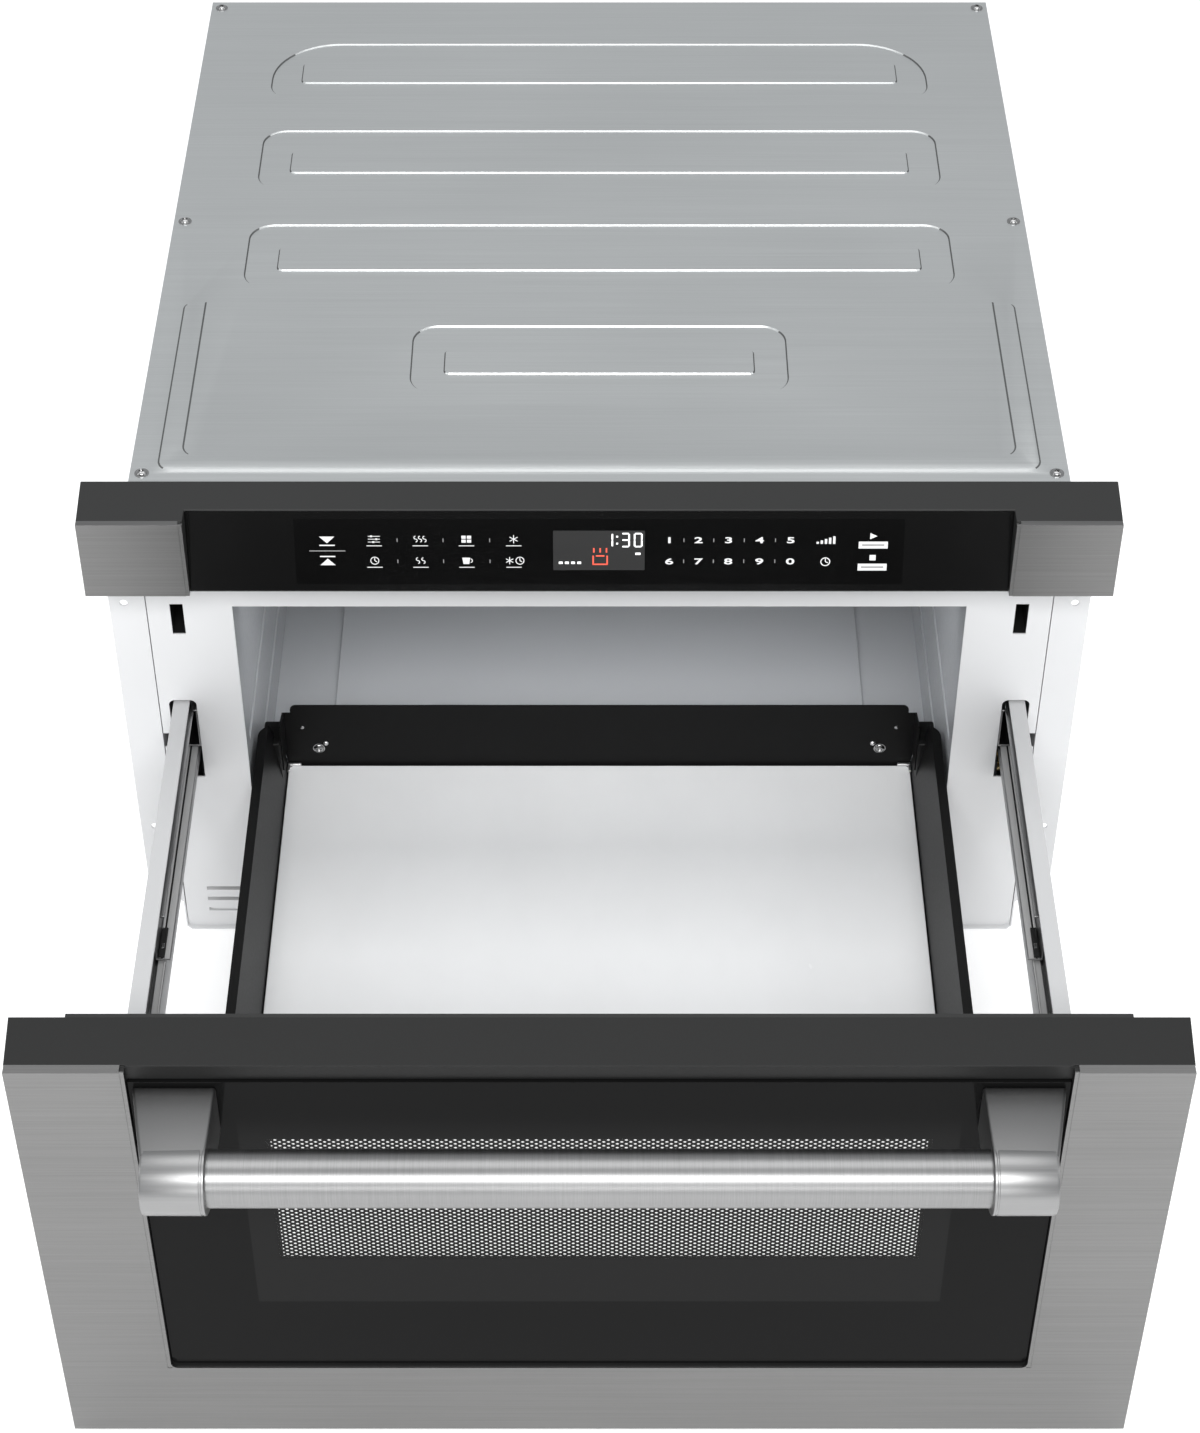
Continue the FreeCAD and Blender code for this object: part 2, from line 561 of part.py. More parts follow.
def make_case_screws():
    screws = []
    for side in ("-", ""):
        for y in ("cover_screw_front", "cover_screw_middle", "cover_screw_back"):
            screws.append(make_screw("Z", side + "cover_screw_x", y, "case_top", 1,
                                     "screw_length"))
        for z in ("rear_screw_low", "rear_screw_high"):
            screws.append(make_screw("Y", side + "cover_screw_x", "case_depth", z, 1,
                                     "screw_length"))
    node("case_screws", together(*screws))


# ---------------------------------------------------------------- cavity

def make_cavity_liner():
    """Welded cavity with side ribs, a front flange and a round well for the stirrer."""
    t = "liner_sheet"
    outside = [box(both(LINER_OUTER), ("frame_sheet", LINER_BACK),
                   ("cavity_floor-" + t, "cavity_top+" + t)),
               box(both("cavity_half_width+liner_flange"), ("frame_sheet", "frame_sheet+" + t),
                   ("cavity_floor-liner_flange", "cavity_top+liner_flange")),
               rod("Z", "well_radius+" + t, ("0", "feed_y", GUIDE_TOP), "well_depth")]
    inside = [box(both("cavity_half_width"), ("0", "cavity_back"),
                  ("cavity_floor", "cavity_top")),
              rod("Z", "well_radius", ("0", "feed_y", GUIDE_TOP + "+" + t), "well_depth"),
              rod("Z", "feed_hole_radius", ("0", "feed_y", GUIDE_TOP + "-" + t), "well_depth")]
    for low in ("rib_low", "rib_high"):
        outside.append(box(both("cavity_half_width+rib_depth+" + t), ("rib_front", "rib_back"),
                           (low, low + "+rib_height")))
        inside.append(box(both("cavity_half_width+rib_depth"),
                          ("rib_front+" + t, "rib_back-" + t),
                          (low + "+" + t, low + "+rib_height-" + t)))
    count = int(size("grid_count"))
    for x in ("lamp_x", "-steam_x", "steam_x"):
        for i in range(count * count):
            across = "%s+(%d-0.5*(grid_count-1))*grid_hole_pitch" % (x, i % count)
            up = "lamp_z+(%d-0.5*(grid_count-1))*grid_hole_pitch" % (i // count)
            inside.append(rod("Y", "grid_hole_radius", (across, "cavity_back-" + t, up),
                              "3*" + t))
    node("cavity_liner", cut(fuse(*outside), *inside))


def make_floor_plate():
    """Glass-ceramic plate over the stirrer well."""
    plate = padded("XY", ("cavity_floor", "cavity_floor+floor_plate_depth"),
                   [rectangle(both("floor_plate_half"),
                              ("floor_plate_front", "floor_plate_back"))])
    rounded(plate, "tray_corner", upright)
    node("cavity_floor_plate", plate)


# ---------------------------------------------------------------- control panel

def slanted(front, back):
    """The touch glass seen from the side; its low edge is further forward than its top."""
    low = "panel_bottom+touch_lip"
    high = PANEL_TOP + "-touch_lip"
    top_y = PANEL_FRONT + "+touch_top_setback"
    low_y = PANEL_FRONT + "+touch_bottom_setback"
    return [(top_y + front, high), (low_y + front, low), (low_y + back, low),
            (top_y + back, high)]


def make_touch_glass():
    node("touch_glass", padded("YZ", both(COLUMN_EDGE + "-fit_gap"),
                               [slanted("", "+touch_glass_depth")]))


def make_control_bezel():
    """Moulded panel body: end blocks, a slanted seat for the glass and a hollow back."""
    step = PANEL_FRONT + "+panel_skin_return"
    grown = "(face_half_width+panel_side_draft*panel_skin_return/panel_depth)"
    body = taper(both(grown), both("face_half_width+panel_side_draft"), (step, "0"),
                 ("panel_bottom", PANEL_TOP))
    plugs = [box(span, (PANEL_FRONT + "+skin_sheet", step),
                 ("panel_bottom+skin_sheet", PANEL_TOP + "-skin_sheet"))
             for span in (("-(face_half_width-skin_sheet)", "-(%s+skin_sheet)" % COLUMN_EDGE),
                          (COLUMN_EDGE + "+skin_sheet", "face_half_width-skin_sheet"))]
    seat = padded("YZ", both(COLUMN_EDGE), [slanted("-panel_depth", "+touch_glass_depth")])
    brow = box(both(COLUMN_EDGE), ("-2*panel_depth", PANEL_FRONT + "+touch_top_setback"),
               (PANEL_TOP + "-2*touch_lip", PANEL_TOP + "+touch_lip"))
    back_room = box(both(COLUMN_EDGE + "-bezel_wall"), ("-bezel_rib", "sheet"),
                    ("panel_bottom+bezel_wall", PANEL_TOP + "-bezel_wall"))
    display_low = "panel_bottom+display_rise"
    window = box(both("display_half_width+fit_gap"), ("-panel_depth", "0"),
                 (display_low + "-fit_gap", display_low + "+display_height+fit_gap"))
    node("control_bezel", cut(fuse(body, *plugs), seat, brow, back_room, window))


def make_panel_ends():
    """Folded stainless caps on the ends of the control panel."""
    left, right = "-face_half_width", "-" + COLUMN_EDGE
    cap = box((left, right), (PANEL_FRONT, PANEL_FRONT + "+panel_skin_return"),
              ("panel_bottom", PANEL_TOP))
    room = box((left + "+skin_sheet", right + "-skin_sheet"), (PANEL_FRONT + "+skin_sheet", "0"),
               ("panel_bottom+skin_sheet", PANEL_TOP + "-skin_sheet"))
    pair("panel_end", cut(cap, room))


def make_control_board():
    """Circuit board on four posts, with a row of packages on its back."""
    middle = "(panel_bottom+0.5*panel_height)"
    low, high = around(middle, "board_height")
    front = "-board_back"
    back = front + "+board_sheet"
    pieces = [box(both("board_half_width"), (front, back), (low, high))]
    for i in range(int(size("chip_count"))):
        across = around("(%d-0.5*(chip_count-1))*chip_pitch" % i, "chip_side")
        pieces.append(box(across, (back, back + "+chip_height"), around(middle, "chip_side")))
    for side in ("-", ""):
        for z in (low + "+chip_height", high + "-chip_height"):
            pieces.append(rod("Y", "chip_height", (side + "(board_half_width-chip_side)",
                                                   "-bezel_rib", z), "bezel_rib-board_back"))
    node("control_board", fuse(*pieces))


def make_display():
    """Display block that stands on the board and shows through the glass."""
    low = "panel_bottom+display_rise"
    node("display_module", box(both("display_half_width"),
                               ("-board_back-display_depth", "-board_back"),
                               (low, low + "+display_height")))


# ---------------------------------------------------------------- drawer front

def make_door_frame():
    """Moulded front frame: recess for glass and screen, tunnel for the window."""
    step = DOOR_FRONT + "+door_skin_return"
    lip_front = DOOR_FRONT + "+door_lip_setback"
    depth = "(panel_depth-closed_gap-choke_sheet)"
    grown = "(face_half_width+door_side_draft*door_skin_return/%s)" % depth
    before = "2*" + DOOR_FRONT
    body = taper(both(grown), both("face_half_width+door_side_draft"), (step, DOOR_FRAME_BACK),
                 ("door_bottom", DOOR_TOP))
    plug = box(both("face_half_width-skin_sheet"), (DOOR_FRONT + "+skin_sheet", step),
               ("door_bottom+skin_sheet", DOOR_TOP + "-skin_sheet"))
    lip = box(both(COLUMN_EDGE), (lip_front, step), (DOOR_TOP + "-2*skin_sheet", DOOR_TOP))
    rooms = [box(both(COLUMN_EDGE), (before, lip_front), (RAIL_TOP, DOOR_TOP + "+skin_sheet")),
             box(both(COLUMN_EDGE), (before, GLASS_BACK),
                 (RAIL_TOP, DOOR_TOP + "-top_lip_height")),
             box(both(SCREEN_HALF + "+fit_gap"), (GLASS_FRONT, SCREEN_BACK),
                 ("screen_low-fit_gap", "screen_high+fit_gap")),
             box(both(TUNNEL_HALF), (DOOR_FRONT, "0"), ("tunnel_low", "tunnel_high")),
             box(both(PANE_HALF + "+fit_gap"), (DOOR_FRAME_BACK + "-glass_thick", "0"),
                 ("pane_low-fit_gap", "pane_high+fit_gap"))]
    hollow = box(both("hollow_half"), (SCREEN_BACK + "+door_wall", "0"),
                 ("choke_low+door_wall", DOOR_TOP + "-door_top_wall"))
    island = box(both(PANE_HALF + "+door_web"), (DOOR_FRONT, "0"),
                 ("pane_low-door_web", "pane_high+door_web"))
    node("door_frame", cut(fuse(body, plug, lip), cut(hollow, island), *rooms))


def low_corner_test(level):
    """Picks the edges along Y at one height."""
    return lambda middle, along: abs(along.y) > 0.99 and abs(middle.z - level) < 0.01


def make_door_skin():
    """Stainless U: two columns and a bottom rail, folded back round the outside."""
    outer = box(both("face_half_width"), (DOOR_FRONT, DOOR_FRONT + "+door_skin_return"),
                ("door_bottom", DOOR_TOP))
    room = box(both("face_half_width-skin_sheet"), (DOOR_FRONT + "+skin_sheet", "0"),
               ("door_bottom+skin_sheet", DOOR_TOP + "-skin_sheet"))
    window = padded("XZ", ("2*" + DOOR_FRONT, "0"),
                    [rectangle(both(COLUMN_EDGE), (RAIL_TOP, DOOR_TOP + "+sheet"))])
    rounded(window, "tray_corner",
            low_corner_test(size("door_bottom") + size("bottom_rail_height")))
    node("door_skin", cut(outer, room, window))


def make_door_glass():
    glass = padded("XZ", (GLASS_FRONT, GLASS_BACK),
                   [rectangle(both(COLUMN_EDGE + "-fit_gap"),
                              (RAIL_TOP + "+fit_gap", DOOR_TOP + "-top_lip_height-fit_gap"))])
    rounded(glass, "tray_corner", low_corner_test(
        size("door_bottom") + size("bottom_rail_height") + size("fit_gap")))
    node("door_glass", glass)


def make_window_screen():
    """Steel screen behind the glass, with a rim that stands against it."""
    plate = box(both(SCREEN_HALF), (SCREEN_FRONT, SCREEN_BACK), ("screen_low", "screen_high"))
    rim = cut(box(both(SCREEN_HALF), (GLASS_BACK, SCREEN_FRONT), ("screen_low", "screen_high")),
              box(both(SCREEN_HALF + "-screen_sheet"), (GLASS_FRONT, SCREEN_BACK),
                  ("screen_low+screen_sheet", "screen_high-screen_sheet")))
    node("window_screen", fuse(plate, rim))


def make_inner_pane():
    pane = padded("XZ", (DOOR_FRAME_BACK + "-glass_thick", DOOR_FRAME_BACK),
                  [rectangle(both(PANE_HALF), ("pane_low", "pane_high"))])
    rounded(pane, "tray_corner", lambda middle, along: abs(along.y) > 0.99)
    node("inner_pane", pane)


def make_choke_cover():
    """Back plate of the drawer front, with the window, the latch slots and their ears."""
    loops = [rectangle(both("choke_half"), ("choke_low", DOOR_TOP + "-choke_inset")),
             rectangle(both(TUNNEL_HALF), ("tunnel_low", "tunnel_high"))]
    ears = []
    for side in ("-", ""):
        slot = around(side + "latch_slot_x", "hook_thick+2*ear_gap")
        loops.append(rectangle(slot, ("hook_z-hook_height", "hook_z+hook_height")))
        for span in ((slot[0] + "-ear_thick", slot[0]), (slot[1], slot[1] + "+ear_thick")):
            ears.append(padded("YZ", span,
                               [rectangle((DOOR_FRAME_BACK + "-ear_reach", DOOR_FRAME_BACK),
                                          around("hook_z", "hook_height"))],
                               [(DOOR_FRAME_BACK + "-hook_pivot_in", "hook_z",
                                 "hook_pin_radius+bore_gap")]))
    plate = padded("XZ", (DOOR_FRAME_BACK, DOOR_BACK), loops)
    node("choke_cover", fuse(plate, *ears))


def make_handle():
    """Bar between two cast brackets, each a sleeve round its end and a post to the glass."""
    centre_y = "(%s-handle_stand)" % DOOR_FRONT
    bar_end = "-(%s+ferrule_overlap)" % HANDLE_HALF
    node("handle_bar", rod("X", "handle_radius", (bar_end, centre_y, "handle_z"),
                           "2*(%s+ferrule_overlap)" % HANDLE_HALF))
    sleeve_end = "-(%s+ferrule_length)" % HANDLE_HALF
    sleeve = rod("X", "ferrule_radius", (sleeve_end, centre_y, "handle_z"), "ferrule_length")
    socket = rod("X", "handle_radius", (bar_end, centre_y, "handle_z"), "ferrule_length")
    tip = "-(%s+post_tip_lag)" % HANDLE_HALF
    root = "-(%s-post_root_lead)" % HANDLE_HALF
    post = taper((tip + "-post_tip_width", tip), (root + "-post_root_width", root),
                 (centre_y, GLASS_FRONT), around("handle_z", "post_height"))
    pair("handle_bracket", cut(fuse(sleeve, post), socket))


def make_latch_hooks():
    """Sprung hook on a cross pin, which reaches back through the latch slot when closed."""
    pivot_y = DOOR_FRAME_BACK + "-hook_pivot_in"
    heel = pivot_y + "-0.5*hook_height"
    tip = DOOR_BACK + "+hook_reach"
    low, high = around("hook_z", "hook_height")
    crest = high + "+hook_nose"
    outline = [(heel, low), (tip + "-hook_lead", low), (tip, low + "+hook_lead"), (tip, high),
               (tip + "-hook_lead", crest), (tip + "-hook_nose_length", crest),
               (tip + "-hook_nose_length", high), (heel, high)]
    blade = padded("YZ", around("-latch_slot_x", "hook_thick"), [outline])
    half = "(0.5*hook_thick+ear_gap+ear_thick)"
    pin = rod("X", "hook_pin_radius", ("-latch_slot_x-" + half, pivot_y, "hook_z"), "2*" + half)
    pair("latch_hook", fuse(blade, pin))


# ---------------------------------------------------------------- drawer pan

def make_pan_walls():
    """Folded side wall: hem outside, lip on top, wall sloping in, foot under the base.

    Its rear end slopes down to the rear wall, and the lip's outer corner is rounded.
    """
    t = "pan_sheet"
    lip = "(pan_half-pan_lip)"
    foot = "-(pan_floor_half-pan_foot)"
    outside = "-(pan_floor_half+%s)" % t
    section = [("-pan_half", "pan_top-pan_hem"), ("-pan_half", "pan_top"),
               ("-" + lip, "pan_top"), ("-pan_floor_half", "tray_top"),
               ("-pan_floor_half", PAN_UNDER), (foot, PAN_UNDER), (foot, PAN_UNDER + "-" + t),
               (outside, PAN_UNDER + "-" + t), (outside, "tray_top"),
               ("-(%s+%s)" % (lip, t), "pan_top-" + t), ("-(pan_half-%s)" % t, "pan_top-" + t),
               ("-(pan_half-%s)" % t, "pan_top-pan_hem")]
    wall = padded("XZ", (DOOR_BACK, "pan_back+pan_sheet"), [section])
    above = "pan_top+%s" % t
    behind = "pan_back+2*" + t
    end_cut = padded("YZ", ("-pan_half-" + t, foot),
                     [[("pan_wall_end", above), (behind, "tray_top+" + t), (behind, above)]])
    corner = box(("-pan_half-" + t, "-" + lip), ("pan_wall_end-pan_lip_round", behind),
                 ("pan_top-pan_hem-" + t, above))
    round_middle = ("-pan_half+pan_lip_round", "pan_wall_end-pan_lip_round",
                    "pan_top-pan_hem-2*" + t)
    corner_cut = cut(corner, rod("Z", "pan_lip_round", round_middle, "pan_hem+4*" + t))
    pair("pan_wall", cut(wall, end_cut, corner_cut))


def make_pan_rear_wall():
    """Rear wall of the pan with lowered shoulders, a return at each end and small holes."""
    shoulder = "rear_wall_top-rear_shoulder_drop"
    side = "(pan_floor_half-0.5*tray_side_gap)"
    outline = [("-" + side, PAN_UNDER), (side, PAN_UNDER), (side, "tray_top"),
               ("rear_shoulder_half", "rear_shoulder_low"), ("rear_shoulder_half", shoulder),
               ("rear_wall_half", shoulder), ("rear_wall_half", "rear_wall_top"),
               ("-rear_wall_half", "rear_wall_top"), ("-rear_wall_half", shoulder),
               ("-rear_shoulder_half", shoulder), ("-rear_shoulder_half", "rear_shoulder_low"),
               ("-" + side, "tray_top")]
    circles = []
    for sign in ("-", ""):
        circles.append((sign + "pan_hole_x", "pan_hole_z", "pan_hole_radius"))
        circles.append((sign + "pan_screw_x", "pan_screw_z", "screw_radius+screw_hole_gap"))
    plate = padded("XZ", ("pan_back", "pan_back+pan_sheet"), [outline], circles)
    rounded(plate, "rear_wall_corner", low_corner_test(size("rear_wall_top")))
    returns = []
    for across in (("-rear_shoulder_half", "-rear_shoulder_half+pan_sheet"),
                   ("rear_shoulder_half-pan_sheet", "rear_shoulder_half")):
        front = "pan_wall_end+rear_return_gap"
        returns.append(padded("YZ", across, [[
            (front, "rear_shoulder_low"), ("pan_back+pan_sheet", "rear_shoulder_low"),
            ("pan_back+pan_sheet", shoulder), (front, shoulder + "+rear_return_rise")]]))
    node("pan_rear_wall", fuse(plate, *returns))


def make_pan_base():
    """Ring under the tray, open in the middle so that the field passes, with rear tabs."""
    low, high = PAN_UNDER, "tray_top-tray_thick"
    half = "(pan_floor_half-tray_side_gap)"
    ring = box(both(half), (DOOR_BACK, "pan_back"), (low, high))
    opening = box(both(half + "-pan_base_rim"),
                  (DOOR_BACK + "+pan_base_rim", "pan_back-pan_base_rim"),
                  (low + "-sheet", high + "+sheet"))
    groove = box(both(half + "-pan_sheet"), (DOOR_BACK + "+pan_sheet", "pan_back-pan_sheet"),
                 (low + "-sheet", high + "-pan_sheet"))
    inner_rim = box(both(half + "-pan_base_rim+pan_sheet"),
                    (DOOR_BACK + "+pan_base_rim-pan_sheet", "pan_back-pan_base_rim+pan_sheet"),
                    (low + "-2*sheet", high))
    tabs = []
    for side in ("-", ""):
        across = around(side + "pan_screw_x", "2*pan_foot")
        tabs.append(box(across, ("pan_back-pan_foot", "pan_back+2*pan_sheet"),
                        (low + "-pan_sheet", low)))
        tabs.append(box(across, ("pan_back+pan_sheet", "pan_back+2*pan_sheet"),
                        (low, "pan_screw_z+pan_foot")))
    holes = [rod("Y", "screw_radius+screw_hole_gap", (side + "pan_screw_x", "pan_back",
                                                      "pan_screw_z"), "3*pan_sheet")
             for side in ("-", "")]
    body = cut(ring, cut(groove, inner_rim), opening)
    node("pan_base", cut(fuse(body, *tabs), *holes))


def make_glass_tray():
    """White glass-ceramic tray plate that covers the whole pan floor."""
    tray = padded("XY", ("tray_top-tray_thick", "tray_top"),
                  [rectangle(both("pan_floor_half-tray_side_gap"),
                             (DOOR_BACK + "+tray_side_gap", "tray_back"))])
    rounded(tray, "tray_corner", upright)
    node("glass_tray", tray)


def make_pan_screws():
    screws = [make_screw("Y", side + "pan_screw_x", "pan_back", "pan_screw_z", -1,
                         "2*pan_sheet") for side in ("-", "")]
    node("pan_screws", together(*screws))


# ---------------------------------------------------------------- slides

def make_slides():
    """Each side has an arm with a rail in it, a middle rail and a rail in the case."""
    arm_web = "-(arm_outer-arm_sheet)"
    arm = padded("XZ", (DOOR_BACK, "arm_back"),
                 [channel("-arm_outer", "-" + ARM_INNER, "arm_low", ARM_TOP, "arm_sheet")])
    end = box((arm_web, "-" + ARM_INNER), (DOOR_BACK, DOOR_BACK + "+arm_sheet"),
              ("arm_low+arm_sheet", ARM_TOP + "-arm_sheet"))
    pair("slide_arm", fuse(arm, end))

    drawer_web = arm_web + "+rail_sheet"
    pair("drawer_rail", padded("XZ", (DOOR_BACK + "+drawer_rail_start", "arm_back"),
                               [channel(arm_web, drawer_web + "+drawer_rail_lip", "rail_low",
                                        RAIL_HIGH, "rail_sheet")]))

    mid_web = drawer_web + "+rail_gap"
    case_web = "-(cabinet_rail_inner+rail_sheet)"
    pair("mid_rail", padded("XZ", ("-mid_front", "-mid_front+mid_length"),
                            [channel(mid_web, case_web + "-rail_gap", "rail_low+" + MID_STEP,
                                     RAIL_HIGH + "-" + MID_STEP, "rail_sheet")]))

    case_span = ("cabinet_rail_front", "cabinet_rail_front+cabinet_rail_length")
    case_low, case_high = "rail_low+2*" + MID_STEP, RAIL_HIGH + "-2*" + MID_STEP
    pair("cabinet_rail", padded("XZ", case_span,
                                [channel("-cabinet_rail_inner",
                                         mid_web + "+rail_sheet+rail_gap", case_low,
                                         case_high, "-rail_sheet")]))

    plate_edge = "-(cabinet_rail_inner-bracket_sheet)"
    leg_high = "bracket_leg_low+bracket_leg_height"
    plate = box(("-cabinet_rail_inner", plate_edge), case_span, ("bracket_leg_low", leg_high))
    legs = []
    for start in ("bracket_front_y", "bracket_back_y"):
        along = (start, start + "+bracket_leg_length")
        tube = box((plate_edge, "-" + LINER_OUTER), along, ("bracket_leg_low", leg_high))
        bore = box((plate_edge + "+bracket_sheet", "-(%s+bracket_sheet)" % LINER_OUTER),
                   (along[0] + "-sheet", along[1] + "+sheet"),
                   ("bracket_leg_low+bracket_sheet", leg_high + "-bracket_sheet"))
        legs.append(cut(tube, bore))
    pair("rail_bracket", fuse(plate, *legs))


def make_latch_blocks():
    """Moulded housing behind each latch slot, and two switches on its outer side."""
    across = around("-latch_slot_x", "latch_slot_width+2*latch_block_wall")
    slot_high = "latch_slot_low+latch_slot_height"
    body = box(across, ("frame_sheet", "frame_sheet+latch_block_length"),
               ("latch_slot_low-latch_block_wall", slot_high + "+latch_block_wall"))
    room = box(around("-latch_slot_x", "latch_slot_width"),
               ("0", "frame_sheet+latch_block_length-latch_block_wall"),
               ("latch_slot_low", slot_high))
    pair("latch_block", cut(body, room))
    switches = []
    for low in ("latch_slot_low", "latch_slot_low+switch_height+switch_gap"):
        left = box((across[0] + "-switch_thick", across[0]),
                   ("switch_start", "switch_start+switch_length"),
                   (low, low + "+switch_height"))
        switches += [left, mirrored(left)]
    node("interlock_switches", together(*switches))


# ---------------------------------------------------------------- rack drive

def polygon_solid(points, start, depth):
    """Extrude an outline of (y, z) points along +X."""
    corners = [FreeCAD.Vector(start, y, z) for y, z in points]
    return Part.Face(Part.makePolygon(corners + corners[:1])).extrude(
        FreeCAD.Vector(depth, 0, 0))


def tooth_half_width():
    """Half the thickness of a tooth on the pitch line, less its share of the backlash."""
    return (math.pi * size("tooth_module") / 2 - size("tooth_backlash") / 2) / 2


def make_drive_rack():
    """Straight rack under the right-hand arm, teeth down; a gap stands over the pinion."""
    module = size("tooth_module")
    slope = math.tan(math.radians(size("pressure_angle")))
    half = tooth_half_width()
    top = size("arm_low")
    root = top - size("rack_body")
    tip = root - 2.25 * module
    pitch = math.pi * module
    spare = size("rack_spare")
    count = int((size("travel") + 2 * spare) / pitch)
    first = size("pinion_y") + spare - (count - 0.5) * pitch
    points = [(first - pitch / 2, top)]
    points.append((first - pitch / 2, root))
    for i in range(count):
        middle = first + i * pitch
        wide, narrow = half + 1.25 * module * slope, half - module * slope
        points += [(middle - wide, root), (middle - narrow, tip), (middle + narrow, tip),
                   (middle + wide, root)]
    points += [(first + (count - 0.5) * pitch, root), (first + (count - 0.5) * pitch, top)]
    start = size("arm_outer") - size("arm_width") + size("rack_inset")
    coded("drive_rack", polygon_solid(points, start, size("rack_width")))
    return first


def make_drive_pinion(first_rack_tooth):
    """Involute pinion in mesh with the rack, on a stub shaft that runs in the gearbox."""
    module, teeth = size("tooth_module"), size("pinion_teeth")
    radius = module * teeth / 2
    angle = math.radians(size("pressure_angle"))
    base = radius * math.cos(angle)
    pitch = math.pi * module
    centre_y = size("pinion_y")
    centre_z = size("arm_low") - size("rack_body") - 1.25 * module - radius

    def involute(at):
        bent = math.acos(min(base / at, 1.0))
        return math.tan(bent) - bent

    def half_angle(at):
        return tooth_half_width() / radius + involute(radius) - involute(at)

    flank = [radius - 1.25 * module]
    flank += [base + (radius + module - base) * step / 5 for step in range(6)]
    # the rack tooth nearest the pinion says how far the gap is turned from straight up
    offset = (centre_y - first_rack_tooth) % pitch
    gap = math.pi / 2 + offset / radius
    points = []
    for tooth in range(int(teeth)):
        middle = gap + (tooth + 0.5) * 2 * math.pi / teeth
        sides = [(at, middle - half_angle(max(at, base))) for at in flank]
        sides += [(at, middle + half_angle(max(at, base))) for at in reversed(flank)]
        points += [(centre_y + at * math.cos(turn), centre_z + at * math.sin(turn))
                   for at, turn in sides]
    start = (size("arm_outer") - size("arm_width") + size("rack_inset")
             + (size("rack_width") - size("pinion_width")) / 2)
    wheel = polygon_solid(points, start, size("pinion_width"))
    reach = size("gearbox_gap") + size("shaft_reach")
    shaft = Part.makeCylinder(size("shaft_radius"), reach + size("pinion_width"),
                              FreeCAD.Vector(start - reach, centre_y, centre_z),
                              FreeCAD.Vector(1, 0, 0))
    coded("drive_pinion", wheel.fuse(shaft).removeSplitter())


def make_drive_motor():
    """Gearbox with the pinion's bore and a motor behind it, and the stand under them."""
    across = (GEARBOX_X + "-gearbox_width", GEARBOX_X)
    along = ("pinion_y-gearbox_nose", "pinion_y-gearbox_nose+gearbox_length")
    high = PINION_Z + "+gearbox_head"
    low = high + "-gearbox_height"
    gearbox = box(across, along, (low, high))
    can = rod("Y", "motor_radius", (GEARBOX_X + "-0.5*gearbox_width", along[1],
                                    high + "-0.5*gearbox_height"), "motor_length")
    bore = rod("X", "shaft_radius+bore_gap",
               (GEARBOX_X + "-shaft_reach-running_gap", "pinion_y", PINION_Z),
               "shaft_reach+2*running_gap")
    node("drive_motor", cut(fuse(gearbox, can), bore))
    inner = (across[0] + "+stand_inset", across[1] + "-stand_inset")
    shell = box(inner, (along[0] + "+stand_inset", along[1] + "-stand_inset"), ("sheet", low))
    room = box((inner[0] + "+stand_sheet", inner[1] + "-stand_sheet"),
               (along[0], along[1]), ("sheet+stand_sheet", low + "-stand_sheet"))
    node("drive_bracket", cut(shell, room))


# ---------------------------------------------------------------- microwave source

def make_waveguide():
    """Rectangular duct from under the magnetron to under the stirrer well."""
    duct = box(both("guide_half"), ("guide_front", "guide_back"), (GUIDE_LOW, GUIDE_TOP))
    room = box(both("guide_half-guide_sheet"),
               ("guide_front+guide_sheet", "guide_back-guide_sheet"),
               (GUIDE_LOW + "+guide_sheet", GUIDE_TOP + "-guide_sheet"))
    middle = GUIDE_LOW + "+0.5*guide_height"
    holes = [rod("Z", "feed_hole_radius", ("0", "feed_y", middle), "guide_height"),
             rod("Z", "stirrer_shaft+bore_gap", ("0", "feed_y", GUIDE_LOW + "-sheet"),
                 "guide_height"),
             rod("Z", "probe_radius+fit_gap", ("0", "source_y", middle), "guide_height")]
    node("waveguide", cut(duct, room, *holes))


def make_magnetron():
    """Yoke with cooling fins round the anode, a probe below and a filter box on top."""
    along = around("source_y", "2*source_half")
    wall = "source_wall"
    low, high = GUIDE_TOP, GUIDE_TOP + "+source_height"
    yoke = cut(box(both("source_half"), along, (low, high)),
               box(both("2*source_half"), (along[0] + "+" + wall, along[1] + "-" + wall),
                   (low + "+" + wall, high + "-" + wall)))
    pieces = [yoke, rod("Z", "anode_radius", ("0", "source_y", low + "+" + wall),
                        "source_height-2*" + wall),
              rod("Z", "magnet_radius", ("0", "source_y", low + "+" + wall), "magnet_height"),
              rod("Z", "magnet_radius",
                  ("0", "source_y", high + "-%s-magnet_height" % wall), "magnet_height"),
              rod("Z", "probe_radius", ("0", "source_y", low + "-probe_drop"),
                  "probe_drop+" + wall),
              box(both("source_half-filter_inset"),
                  (along[0] + "+filter_inset", along[1] + "-filter_inset"),
                  (high, high + "+filter_height"))]
    for i in range(int(size("fin_count"))):
        up = "(%s+0.5*source_height+(%d-0.5*(fin_count-1))*fin_pitch)" % (GUIDE_TOP, i)
        pieces.append(box(both("source_half-2*" + wall), along, around(up, "fin_sheet")))
    node("magnetron", fuse(*pieces))


